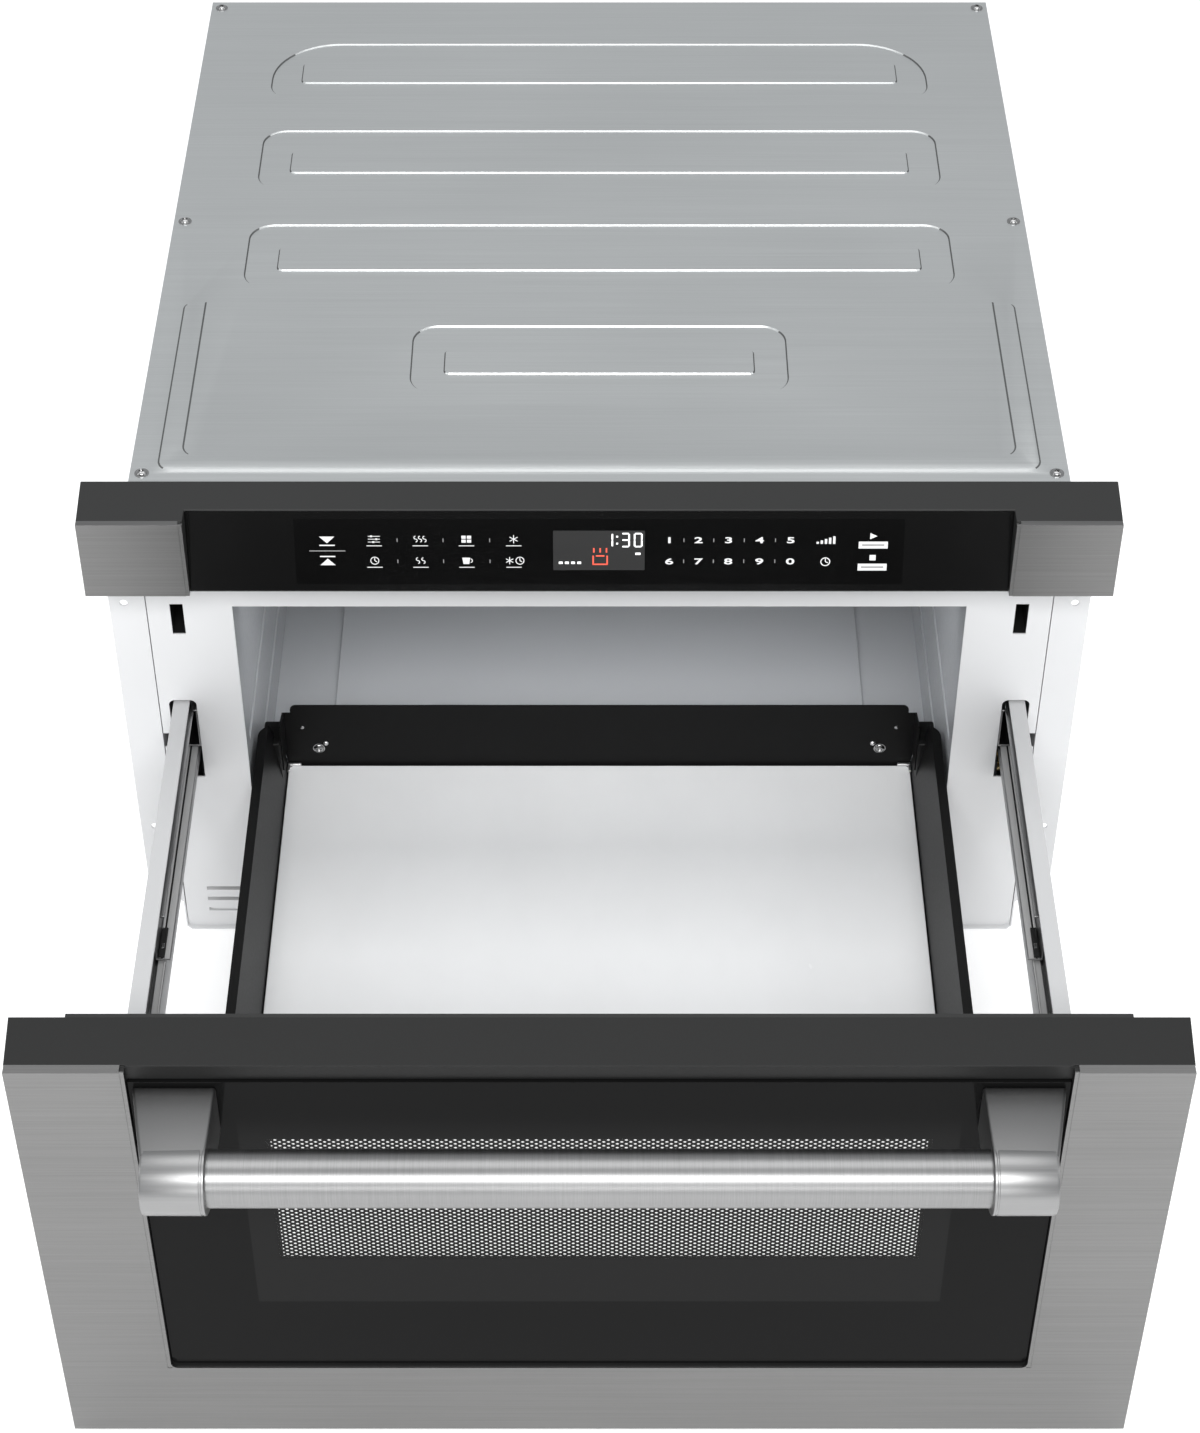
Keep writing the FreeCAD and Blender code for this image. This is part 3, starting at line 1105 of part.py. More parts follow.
def make_stirrer():
    """Slow four-bladed antenna in the well, on a shaft down to its motor."""
    body = doc.addObject("PartDesign::Body", "Body")
    low = GUIDE_TOP + "+stirrer_rise"
    span = (low, low + "+stirrer_sheet")
    add_pad(body, "XY", span, circles=[("0", "0", "stirrer_disc")])
    blade = add_pad(body, "XY", span,
                    [rectangle(("0.5*stirrer_disc", "stirrer_radius"),
                               around("0", "blade_width"))])
    ring = body.newObject("PartDesign::PolarPattern", "Blades")
    ring.Originals = [blade]
    upward = [item for item in body.Origin.OriginFeatures if item.Role == "Z_Axis"]
    ring.Axis = (upward[0], [""])
    ring.Angle = 360
    bind(ring, Occurrences="stirrer_blades")
    body.Tip = ring
    place(body, "0", "feed_y", "0")
    hub_low = GUIDE_LOW + "+2*guide_sheet"
    hub = rod("Z", "stirrer_hub", ("0", "feed_y", hub_low), "(%s)-(%s)" % (low, hub_low))
    foot = GUIDE_LOW + "-stirrer_grip"
    shaft = rod("Z", "stirrer_shaft", ("0", "feed_y", foot), "(%s)-(%s)" % (low, foot))
    node("stirrer", fuse(body, hub, shaft))


def make_stirrer_motor():
    plate = box(both("stirrer_ear_half"), around("feed_y", "stirrer_ear_width"),
                (GUIDE_LOW + "-sheet", GUIDE_LOW))
    low = GUIDE_LOW + "-sheet-stirrer_motor_height"
    can = rod("Z", "stirrer_motor_radius", ("0", "feed_y", low), "stirrer_motor_height")
    bore = rod("Z", "stirrer_shaft+bore_gap",
               ("0", "feed_y", GUIDE_LOW + "-stirrer_grip-running_gap"), "2*stirrer_grip")
    node("stirrer_motor", cut(fuse(plate, can), bore))


def make_supply():
    """Transformer with its laminated core, coils and foot, and the oval capacitor."""
    across = around("-core_x", "core_width")
    along = around("source_y", "core_depth")
    low = "sheet+core_foot"
    core = box(across, along, (low, low + "+core_height"))
    coil = box((across[0] + "+coil_margin", across[1] + "-coil_margin"),
               (along[0] + "-coil_bulge", along[1] + "+coil_bulge"),
               (low + "+coil_margin", low + "+core_height-coil_margin"))
    foot = box((across[0] + "-core_foot_rim", across[1] + "+core_foot_rim"), along,
               ("sheet", low))
    node("hv_transformer", fuse(core, coil, foot))
    flat = "(capacitor_width-capacitor_depth)"
    can = [box(around("-capacitor_x", "capacitor_depth"), around("source_y", flat),
               ("sheet", "sheet+capacitor_height"))]
    top = "sheet+capacitor_height"
    for end in ("source_y-0.5*" + flat, "source_y+0.5*" + flat):
        can.append(rod("Z", "0.5*capacitor_depth", ("-capacitor_x", end, "sheet"),
                       "capacitor_height"))
        can.append(rod("Z", "terminal_radius", ("-capacitor_x", end, top), "terminal_height"))
    node("hv_capacitor", fuse(*can))


def make_fan():
    """Square shroud, the motor on its spider, and the wheel with tilted blades."""
    across = ("fan_x", "fan_x+fan_depth")
    along, up = around("source_y", "fan_size"), ("sheet", "sheet+fan_size")
    bore = rod("X", "fan_bore", ("fan_x-sheet", "source_y", FAN_Z), "fan_depth+2*sheet")
    node("fan_shroud", cut(box(across, along, up), bore))
    spider = (across[1], across[1] + "+spider_sheet")
    motor = (spider[1], spider[1] + "+fan_motor_depth")
    arms = [box(spider, around("source_y", "spider_arm"), up),
            box(spider, along, around(FAN_Z, "spider_arm"))]
    block = box(motor, around("source_y", "fan_motor_width"), around(FAN_Z, "fan_motor_width"))
    seat = rod("X", "shaft_radius+bore_gap", (across[1] + "-sheet", "source_y", FAN_Z),
               "fan_shaft_reach")
    node("fan_motor", cut(fuse(block, *arms), seat))

    start = size("fan_x") + (size("fan_depth") - size("wheel_depth")) / 2
    centre = FreeCAD.Vector(start, size("source_y"), size("sheet") + size("fan_size") / 2)
    axis = FreeCAD.Vector(1, 0, 0)
    chord, thick = size("blade_chord"), size("blade_sheet")
    middle = centre + axis * size("wheel_depth") / 2
    wheel = Part.makeCylinder(size("wheel_hub"), size("wheel_depth"), centre, axis)
    for i in range(int(size("wheel_blades"))):
        blade = Part.makeBox(chord, thick, 2 * size("wheel_radius"),
                             middle + FreeCAD.Vector(-chord / 2, -thick / 2, 0))
        blade.rotate(middle, FreeCAD.Vector(0, 0, 1), size("blade_pitch"))
        blade.rotate(middle, axis, 360 * i / size("wheel_blades"))
        wheel = wheel.fuse(blade)
    trim = Part.makeCylinder(size("wheel_radius"), 2 * chord,
                             middle - axis * chord, axis)
    shaft = Part.makeCylinder(
        size("shaft_radius"),
        size("fan_shaft_reach") - size("sheet") - size("running_gap")
        + size("fan_x") + size("fan_depth") - centre.x, centre, axis)
    coded("fan_wheel", wheel.common(trim).fuse(shaft).removeSplitter())


def make_lamp():
    """Lamp in a shallow housing behind the holes of the cavity's rear wall."""
    across, up = around("lamp_x", "2*lamp_box_half"), around("lamp_z", "2*lamp_box_half")
    back = LINER_BACK + "+lamp_box_depth"
    shell = box(across, (LINER_BACK, back), up)
    room = box((across[0] + "+lamp_wall", across[1] + "-lamp_wall"),
               (LINER_BACK, back + "-lamp_wall"),
               (up[0] + "+lamp_wall", up[1] + "-lamp_wall"))
    bulb = rod("Y", "lamp_radius", ("lamp_x", LINER_BACK + "+lamp_gap", "lamp_z"),
               "lamp_box_depth-lamp_gap")
    socket = rod("Y", "lamp_socket_radius", ("lamp_x", back, "lamp_z"), "lamp_socket_length")
    node("cavity_lamp", fuse(cut(shell, room), bulb, socket))


def make_cord_gland():
    """Gland in the rear panel, where the supply lead goes in."""
    barrel = rod("Y", "gland_radius", ("gland_x", "case_depth-gland_length", "gland_z"),
                 "gland_length")
    rim = rod("Y", "gland_flange", ("gland_x", "case_depth", "gland_z"), "gland_depth")
    bore = rod("Y", "gland_bore", ("gland_x", "case_depth-2*gland_length", "gland_z"),
               "4*gland_length")
    node("cord_gland", cut(fuse(barrel, rim), bore))


# ---------------------------------------------------------------- build, check, write

for make in (make_chassis_base, make_side_panels, make_front_frame, make_rear_panel,
             make_top_cover, make_case_screws, make_cavity_liner, make_floor_plate,
             make_touch_glass, make_control_bezel, make_panel_ends, make_control_board,
             make_display, make_door_frame, make_door_skin, make_door_glass,
             make_window_screen, make_inner_pane, make_choke_cover, make_handle,
             make_latch_hooks, make_pan_walls, make_pan_rear_wall, make_pan_base,
             make_glass_tray, make_pan_screws, make_slides, make_latch_blocks,
             make_drive_motor, make_waveguide, make_magnetron, make_stirrer,
             make_stirrer_motor, make_supply, make_fan, make_lamp, make_cord_gland):
    make()
make_drive_pinion(make_drive_rack())
doc.recompute()

for item in doc.Objects:
    for state in item.State:
        if state in ("Invalid", "Error"):
            raise RuntimeError("%s (%s) is %s" % (item.Name, item.Label, state))
for name, item in nodes.items():
    if item.Shape.isNull() or not item.Shape.isValid() or not item.Shape.Solids:
        raise RuntimeError("%s has no valid solid" % name)

os.makedirs("parts", exist_ok=True)
for name, item in nodes.items():
    item.Shape.exportStep("parts/%s.step" % name)
    bounds = item.Shape.BoundBox
    print("%-22s %3d solids %10.1f mm3  x %7.1f %7.1f  y %7.1f %7.1f  z %6.1f %6.1f"
          % (name, len(item.Shape.Solids), item.Shape.Volume, bounds.XMin, bounds.XMax,
             bounds.YMin, bounds.YMax, bounds.ZMin, bounds.ZMax))
print(len(nodes), "nodes")
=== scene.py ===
# %% [markdown]
# # A built-in microwave drawer
# The object is a kitchen appliance: a stamped steel case, a slanted touch panel and a drawer
# with a stainless front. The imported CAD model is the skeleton. This lesson dresses it: it
# rounds the folded edges, punches the window screen, draws the marks and paints every surface.

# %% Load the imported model
import math
import random
import bmesh
import bpy
from mathutils import Matrix, Vector
from mathutils.geometry import intersect_point_line


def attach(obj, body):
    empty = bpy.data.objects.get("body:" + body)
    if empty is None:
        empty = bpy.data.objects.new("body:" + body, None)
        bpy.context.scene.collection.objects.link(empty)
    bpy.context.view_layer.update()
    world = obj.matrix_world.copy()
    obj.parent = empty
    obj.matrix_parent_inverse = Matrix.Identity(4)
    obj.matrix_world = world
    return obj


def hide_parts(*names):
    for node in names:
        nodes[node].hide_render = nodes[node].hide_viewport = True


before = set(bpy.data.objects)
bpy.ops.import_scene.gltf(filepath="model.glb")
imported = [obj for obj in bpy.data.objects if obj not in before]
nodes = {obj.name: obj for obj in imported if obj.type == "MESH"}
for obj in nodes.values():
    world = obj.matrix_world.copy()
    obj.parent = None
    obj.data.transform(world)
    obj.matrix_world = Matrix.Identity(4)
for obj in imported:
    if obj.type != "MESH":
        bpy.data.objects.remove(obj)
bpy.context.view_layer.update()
random.seed(7)
MM = 0.001

# %% [markdown]
# ## The camera first
# A perspective camera is fixed by where it stands, how far it tips down and its focal length.
# All three come from the photograph's vanishing points.
# The sensor is measured along the longer side of the picture, which is its height.

# %% Camera
PICTURE = (1200, 1433)
FOCAL_PIXELS = 3069.05
TILT_DOWN = math.radians(43.334)
view = bpy.data.cameras.new("photo_view")
view.sensor_width = 36.0
view.lens = FOCAL_PIXELS / max(PICTURE) * view.sensor_width
view.shift_x = 0.7 / max(PICTURE)
view.clip_start, view.clip_end = 0.05, 30.0
camera = bpy.data.objects.new("photo_view", view)
camera.location = (0.0, -1.4034, 1.5177)
camera.rotation_euler = (math.pi / 2 - TILT_DOWN, 0.0, 0.0)
bpy.context.collection.objects.link(camera)
bpy.context.scene.camera = camera
bpy.context.scene.view_settings.view_transform = "Standard"
print("lens %.2f mm" % view.lens)

# %% [markdown]
# ## Studio
# Brushed steel has hardly any colour of its own: what it shows is the room. Large soft lights
# give broad highlights without hard edges, and a bright even world keeps the shadows open.

# %% Lights and world
def area_light(name, place, target, width, height, power):
    """A rectangular soft light that looks at a target."""
    lamp = bpy.data.lights.new(name, "AREA")
    lamp.shape = "RECTANGLE"
    lamp.size, lamp.size_y = width, height
    lamp.energy = power
    holder = bpy.data.objects.new(name, lamp)
    holder.location = place
    aim = Vector(target) - Vector(place)
    holder.rotation_euler = aim.to_track_quat("-Z", "Y").to_euler()
    bpy.context.collection.objects.link(holder)
    return holder


area_light("overhead_bank", (0.0, 0.3, 2.4), (0.0, 0.0, 0.2), 2.6, 1.2, 20)
area_light("key_bank", (0.0, -2.15, 2.45), (0.0, -0.1, 0.2), 2.0, 0.7, 62)
area_light("low_bank", (0.0, -2.9, 0.9), (0.0, 0.0, 0.2), 2.0, 0.6, 14)
area_light("left_strip", (-2.2, -0.6, 1.2), (0.0, -0.2, 0.2), 0.5, 1.8, 7)
area_light("right_strip", (2.2, -0.6, 1.2), (0.0, -0.2, 0.2), 0.5, 1.8, 7)
cavity_light = area_light("cavity_light", (0.0, 0.03, 0.285), (0.0, 0.45, 0.20), 0.36, 0.03, 0.60)
cavity_light.visible_camera = False

world = bpy.data.worlds.new("soft_room")
bpy.context.scene.world = world
world.use_nodes = True
sky = world.node_tree.nodes["Background"].inputs
sky["Color"].default_value = (0.93, 0.95, 0.97, 1)
sky["Strength"].default_value = 0.58

# %% [markdown]
# ## Shader arithmetic
# A material is a small program. Wrapping a socket in a Python class lets an expression such
# as `1 - mask * 0.3` build its Math nodes, so the recipes below read like formulas.

# %% Sockets that behave like numbers
class Signal:
    """One output of a shader node that can be used in arithmetic."""

    def __init__(self, paint, output):
        self.paint = paint
        self.output = output

    def combined(self, operation, first, second):
        return self.paint.node("ShaderNodeMath", {"operation": operation}, {0: first, 1: second})

    def __add__(self, other):
        return self.combined("ADD", self, other)

    def __sub__(self, other):
        return self.combined("SUBTRACT", self, other)

    def __rsub__(self, other):
        return self.combined("SUBTRACT", other, self)

    def __mul__(self, other):
        return self.combined("MULTIPLY", self, other)

    def __gt__(self, other):
        return self.combined("GREATER_THAN", self, other)

    def __lt__(self, other):
        return self.combined("LESS_THAN", self, other)

    __radd__ = __add__
    __rmul__ = __mul__

    def size(self):
        """The value without its sign."""
        return self.paint.node("ShaderNodeMath", {"operation": "ABSOLUTE"}, {0: self})


print("signals add, subtract, multiply and compare")

# %% [markdown]
# A material is then one object that owns its shader and hands out signals: a noise, a
# coordinate, a blend of two colours. Constants are set straight on the shader's sockets.

# %% A material that hands out signals
class Paint:
    """A material with one Principled shader and the nodes that vary it."""

    def __init__(self, name, **constants):
        self.material = bpy.data.materials.new(name)
        self.material.use_nodes = True
        self.tree = self.material.node_tree
        self.shader = self.tree.nodes["Principled BSDF"]
        for socket, value in constants.items():
            self.shader.inputs[socket.replace("_", " ")].default_value = value
        self.place = self.node("ShaderNodeTexCoord", {}, {}, "Object")

    def node(self, kind, settings, inputs, output=0):
        """Add a node: its type, its settings, then the values or links of its sockets."""
        made = self.tree.nodes.new(kind)
        for key, value in settings.items():
            setattr(made, key, value)
        for key, value in inputs.items():
            self.feed(made.inputs[key], value)
        return Signal(self, made.outputs[output])

    def feed(self, socket, value):
        if isinstance(value, Signal):
            self.tree.links.new(value.output, socket)
        else:
            socket.default_value = value

    def mix(self, factor, first, second):
        return self.node("ShaderNodeMix", {"data_type": "RGBA"}, {0: factor, 6: first, 7: second},
                         2)

    def stretched(self, scale):
        """Object coordinates in metres, scaled differently along each axis."""
        return self.node("ShaderNodeVectorMath", {"operation": "MULTIPLY"},
                         {0: self.place, 1: scale})

    def noise(self, scale, detail=2.0, roughness=0.5, stretch=None):
        vector = self.stretched(stretch) if stretch else self.place
        return self.node("ShaderNodeTexNoise", {}, {"Vector": vector, "Scale": scale,
                                                    "Detail": detail, "Roughness": roughness})

    def axis(self, letter):
        return self.node("ShaderNodeSeparateXYZ", {}, {0: self.place}, "XYZ".index(letter))

    def set(self, socket, value):
        self.feed(self.shader.inputs[socket], value)

    def bump(self, height, strength, distance):
        self.set("Normal", self.node("ShaderNodeBump", {}, {
            "Height": height, "Strength": strength, "Distance": distance}))


def grey(level, tint=(1.0, 1.0, 1.0)):
    return (level * tint[0], level * tint[1], level * tint[2], 1.0)


def shaded(colour, factor):
    """A colour made darker or lighter, but never brighter than white."""
    return tuple(min(factor * channel, 1.0) for channel in colour[:3]) + (1.0,)


print("shader helpers ready")

# %% [markdown]
# ## Brushed and rolled sheet
# Brushing leaves fine scratches in one direction. Noise that is stretched a hundredfold along
# the brushing gives streaks; they move the colour, the roughness and a very shallow bump.
# A second, broad noise keeps large faces from looking dead flat.

# %% Metal recipes
ALONG_X = (5.0, 900.0, 900.0)
ALONG_Y = (900.0, 5.0, 900.0)
ALONG_Z = (900.0, 900.0, 5.0)
AROUND_X = (1400.0, 20.0, 20.0)


def brushed(name, level, stretch, roughness, tint=(1.0, 1.0, 1.0), contrast=0.25, depth=0.10,
            metallic=1.0):
    """Sheet with streaks along the axis that its stretch scales least."""
    paint = Paint(name, Metallic=metallic)
    streaks = paint.noise(1.0, 4.0, 0.62, stretch)
    hair = paint.noise(3.1, 2.0, 0.5, stretch)
    broad = paint.noise(7.0, 1.0)
    shade = (streaks * 0.6 + hair * 0.4 + broad * 0.25 - 0.125)
    paint.set("Base Color", paint.mix(shade, grey(level * (1 - contrast), tint),
                                      grey(min(level * (1 + contrast), 1.0), tint)))
    paint.set("Roughness", streaks * 0.16 + broad * 0.05 + (roughness - 0.105))
    paint.bump(streaks + hair * 0.5, depth, 0.2 * MM)
    return paint.material


stainless = brushed("stainless_across", 0.203, ALONG_X, 0.36, (1.0, 0.995, 0.985), 0.30)
stainless_bar = brushed("stainless_bar", 0.268, AROUND_X, 0.35, contrast=0.34, depth=0.02)
ferrule_steel = brushed("stainless_ferrule", 0.29, ALONG_X, 0.37, contrast=0.12, depth=0.01)
post_steel = brushed("cast_post", 0.185, ALONG_Z, 0.42, contrast=0.1, depth=0.05)
galvanised = brushed("galvanised_cover", 0.70, ALONG_X, 0.34, (0.975, 1.0, 1.0), 0.12, 0.05)
# A much darker copy of the cover's zinc: painted shade on the side slopes of its stampings.
slope_painted_shade = brushed("galvanised_slope_painted_shade", 0.16, ALONG_Y, 0.5, (0.975, 1.0, 1.0), 0.12, 0.05)
galvanised_rear = brushed("galvanised_body", 0.45, ALONG_Z, 0.45, (0.97, 1.0, 1.01), 0.14, 0.06)
zinc = brushed("zinc_rail", 0.38, ALONG_Y, 0.3, (1.0, 1.0, 1.01), 0.08, 0.03)
# A darker copy of the rail zinc: painted shade for the drawer rails under the arms' flanges.
zinc_painted_shade = brushed("rail_zinc_painted_shade", 0.17, ALONG_Y, 0.34, (1.0, 1.0, 1.0), 0.1, 0.03)
screw_steel = brushed("plated_screw", 0.36, ALONG_Z, 0.22, contrast=0.06, depth=0.02)
# A pale zinc that is not metal, so it stays light from any side: painted light for the slides.
zinc_painted_light = brushed("zinc_painted_light", 0.42, ALONG_Y, 0.6, contrast=0.08, depth=0.02, metallic=0.0)
bare_aluminium = brushed("pressed_aluminium", 0.7, ALONG_X, 0.35, contrast=0.1, depth=0.05)
brass = brushed("cut_brass", 0.7, ALONG_X, 0.3, (1.0, 0.78, 0.4), 0.12, 0.05)
print("metals ready")

# %% [markdown]
# ## Coats, plastics and glass
# A sprayed powder coat has a faint orange-peel bump. Moulded plastic has a finer grain and
# scatters highlights. Glass is smooth: only the faintest smears move its roughness.

# %% Coat, plastic and glass recipes
GRAIN = 1800.0  # pores in a metre of moulded plastic


def coated(name, colour, roughness, grain=420.0, depth=0.08, sheen=0.4):
    paint = Paint(name, Specular_IOR_Level=sheen)
    peel = paint.noise(grain, 2.0)
    broad = paint.noise(6.0, 2.0)
    paint.set("Base Color", paint.mix(broad, shaded(colour, 0.93), colour))
    paint.set("Roughness", peel * 0.08 + broad * 0.06 + (roughness - 0.07))
    paint.bump(peel, depth, 0.2 * MM)
    return paint.material


def moulded(name, colour, roughness):
    paint = Paint(name, Specular_IOR_Level=0.28)
    pores = paint.node("ShaderNodeTexVoronoi", {}, {"Vector": paint.place, "Scale": GRAIN})
    broad = paint.noise(9.0, 2.0)
    paint.set("Base Color", paint.mix(broad, colour, shaded(colour, 1.12)))
    paint.set("Roughness", pores * 0.12 + broad * 0.05 + (roughness - 0.08))
    paint.bump(pores, 0.18, 0.15 * MM)
    return paint.material


def polished(name, colour, roughness, alpha=1.0, gloss=0.5):
    paint = Paint(name, IOR=1.5, Specular_IOR_Level=gloss, Alpha=alpha)
    smears = paint.noise(14.0, 3.0, 0.6, (1.0, 0.6, 1.4))
    paint.set("Base Color", paint.mix(smears, colour, shaded(colour, 0.9)))
    paint.set("Roughness", smears * 0.05 + (roughness - 0.02))
    return paint.material


print("recipes for coats, plastics and glass ready")

# %% [markdown]
# Each recipe is then called once for every finish that the appliance has, and once more for a
# darker copy of the white coat, which is painted shade on the slide arms and the louvre blades.
# Cavity paint is shinier than the case's powder coat, and the parts of the pan are nearly black.

# %% The finishes
white_coat = coated("white_powder_coat", grey(0.745, (0.985, 0.99, 1.0)), 0.42)
# A darker copy of the white coat: painted shade for the slide arms and the louvre blades.
white_coat_painted_shade = coated("white_powder_coat_painted_shade", grey(0.52, (0.985, 0.99, 1.0)), 0.45)
black_coat = coated("black_pan_coat", grey(0.005), 0.42, 600.0, 0.04, sheen=0.15)
rear_coat = coated("black_rear_coat", grey(0.005), 0.5, 600.0, 0.04, sheen=0.12)
cavity_coat = coated("cavity_coat", grey(0.50, (0.96, 0.985, 1.02)), 0.24, 300.0, 0.03)
motor_coat = coated("motor_coat", grey(0.12, (0.95, 1.0, 1.1)), 0.45)
core_varnish = coated("core_varnish", (0.12, 0.09, 0.07, 1.0), 0.5)
board_coat = coated("board_coat", (0.02, 0.12, 0.05, 1.0), 0.4)
dark_plastic = moulded("dark_plastic", grey(0.021, (0.99, 1.0, 0.99)), 0.48)
door_plastic = moulded("door_plastic", grey(0.012, (0.99, 1.0, 0.99)), 0.5)
black_plastic = moulded("black_plastic", grey(0.012), 0.45)
acetal = moulded("natural_acetal", grey(0.72, (1.0, 0.99, 0.95)), 0.4)
touch_black = polished("touch_glass_black", grey(0.006), 0.16, gloss=0.3)
touch_field = polished("touch_field", grey(0.003), 0.22, gloss=0.18)
white_ceramic = polished("white_glass_ceramic", grey(0.84, (0.99, 0.995, 1.0)), 0.26)
clear_pane = polished("clear_pane", grey(0.5), 0.04, alpha=0.07)
bulb_glass = polished("bulb_glass", (0.9, 0.8, 0.55, 1.0), 0.05, alpha=0.5)
print("coats, plastics and glass ready")

# %% [markdown]
# The drawer's outer glass is printed black on its front round a clear middle, so that the
# screen shows behind it. A slightly paler band is printed round the clear part. Both are
# rectangles worked out from the object's own coordinates, because they belong to the glass.
# The back of the glass gets a wider clear middle, or its print would show through the front.

# %% Printed door glass
CLEAR_HALF, CLEAR_LOW, CLEAR_HIGH = 0.1733, 0.1612, 0.2637
BAND_HALF, BAND_LOW, BAND_FADE, BAND_HIGH = 0.1875, 0.1225, 0.2600, 0.2800


def printed_glass(name, margin, clear):
    paint = Paint(name, IOR=1.5, Specular_IOR_Level=0.045)
    smears = paint.noise(11.0, 3.0, 0.6, (1.0, 1.0, 1.6))
    upright = paint.axis("Z")
    sideways = paint.axis("X").size()
    inside = ((sideways < CLEAR_HALF + margin) * (upright > CLEAR_LOW - margin)
              * (upright < CLEAR_HIGH + margin))
    fade = paint.node("ShaderNodeMapRange", {}, {0: upright, 1: BAND_FADE, 2: BAND_HIGH,
                                                 3: 1.0, 4: 0.0})
    band = (sideways < BAND_HALF) * (upright > BAND_LOW) * fade
    paint.set("Base Color", paint.mix(band, grey(0.006), grey(0.0118)))
    paint.set("Roughness", smears * 0.05 + 0.03)
    paint.set("Alpha", 1 - inside * clear)
    return paint.material


door_glass_front = printed_glass("printed_door_glass", 0.0, 0.88)
door_glass_back = printed_glass("clear_door_glass", 9 * MM, 1.0)
print("door glass printed")

# %% [markdown]
# Printed and lit marks are seen against black glass. The printed marks get a little painted
# light of their own, which keeps them even; the lit reading glows as a lit display does and
# gets more of it.

# %% Marks that glow
def glowing(name, colour, strength):
    """A printed or lit mark: its colour plus a little light, painted on printed marks."""
    paint = Paint(name, Roughness=0.5, Emission_Strength=strength)
    fleck = paint.noise(900.0, 1.0)
    for socket in ("Base Color", "Emission Color"):
        paint.set(socket, paint.mix(fleck, shaded(colour, 0.94), colour))
    return paint.material


# The glow of the printed marks is painted light.
mark_white = glowing("mark_white", grey(0.78), 0.15)
mark_grey = glowing("mark_grey", grey(0.30), 0.05)
lit_white = glowing("lit_white", grey(0.95), 0.9)
lit_red = glowing("lit_red", (0.75, 0.10, 0.06, 1.0), 0.6)
display_grey = glowing("display_filter", grey(0.020), 0.02)
print("marks ready")

# %% [markdown]
# ## Rounded edges
# Sheet metal bends over a radius and moulded plastic leaves its tool with soft corners. A CAD
# node keeps its mesh here, so a copy is welded, its flat faces are joined and a small bevel
# is put on every sharp edge. The copy then stands for the node.

# %% Smoothing, painting and hanging
SHARP, ROUND_ANGLE = 35, 60  # degrees up to which two faces shade as one surface


def smooth_by_angle(mesh, degrees):
    for polygon in mesh.polygons:
        polygon.use_smooth = True
    mesh.set_sharp_from_angle(angle=math.radians(degrees))


def paint_over(mesh, material):
    mesh.materials.clear()
    mesh.materials.append(material)


def finish_piece(piece, body, material, smooth_angle=SHARP):
    """Smooth by angle unless the angle is 0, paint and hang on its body."""
    if smooth_angle:
        smooth_by_angle(piece.data, smooth_angle)
    paint_over(piece.data, material)
    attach(piece, body)
    return piece


def link_mesh(name, mesh):
    piece = bpy.data.objects.new(name, mesh)
    bpy.context.collection.objects.link(piece)
    return piece


def piece_from(work, name):
    """End a bmesh: its mesh goes into the scene as a piece."""
    mesh = bpy.data.meshes.new(name)
    work.to_mesh(mesh)
    work.free()
    return link_mesh(name, mesh)


def apply_modifiers(piece):
    bpy.context.view_layer.update()
    solid = bpy.data.meshes.new_from_object(
        piece.evaluated_get(bpy.context.evaluated_depsgraph_get()))
    piece.modifiers.clear()
    piece.data = solid


print("smoothing, painting and hanging helpers ready")

# %% [markdown]
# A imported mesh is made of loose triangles. Welding joins them, dissolving turns them back
# into flat faces, and only then does a bevel find clean edges. Weighted normals keep the
# large faces flat beside their rounded edges.

# %% Welding and rounding
WELD, FLAT = 0.01 * MM, 0.6  # corners this close and faces this level become one


def welded_copy(node):
    work = bmesh.new()
    work.from_mesh(nodes[node].data)
    bmesh.ops.remove_doubles(work, verts=work.verts, dist=WELD)
    bmesh.ops.dissolve_limit(work, angle_limit=math.radians(FLAT), verts=work.verts,
                             edges=work.edges)
    piece = piece_from(work, node + "_dressed")
    packed_normals = piece.data.attributes.get("custom_normal")
    if packed_normals:
        piece.data.attributes.remove(packed_normals)
    return piece


def round_edges(piece, radius, segments=3):
    """Bevel the sharp edges; the large flat faces keep their own normals."""
    smooth_by_angle(piece.data, SHARP)
    bevel = piece.modifiers.new("round", "BEVEL")
    bevel.width = radius
    bevel.segments = segments
    bevel.limit_method = "ANGLE"
    bevel.angle_limit = math.radians(40)
    bevel.use_clamp_overlap = True
    for edge in piece.data.edges:
        edge.use_edge_sharp = False
    weigh = piece.modifiers.new("flat_faces", "WEIGHTED_NORMAL")
    weigh.weight = 100
    apply_modifiers(piece)


def soften(node, body, material, radius, segments=3):
    piece = welded_copy(node)
    round_edges(piece, radius, segments)
    finish_piece(piece, body, material, 0)
    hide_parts(node)
    return piece


print("welding and rounding helpers ready")

# %% [markdown]
# Small pieces start from eight corners. A tapered post and a square spring are the same
# thing with other corners, so one function makes both, with its edges rounded.

# %% Blocks with rounded edges
def block(name, corners, radius=0.0, segments=3):
    """A closed six-sided block from eight corners: four at the front, four at the back."""
    work = bmesh.new()
    verts = [work.verts.new(corner) for corner in corners]
    for face in ((0, 1, 2, 3), (7, 6, 5, 4), (0, 4, 5, 1), (1, 5, 6, 2), (2, 6, 7, 3),
                 (3, 7, 4, 0)):
        work.faces.new([verts[k] for k in face])
    bmesh.ops.recalc_face_normals(work, faces=work.faces)
    if radius:
        bmesh.ops.bevel(work, geom=work.edges[:], offset=radius, segments=segments,
                        profile=0.5, affect="EDGES")
    return piece_from(work, name)


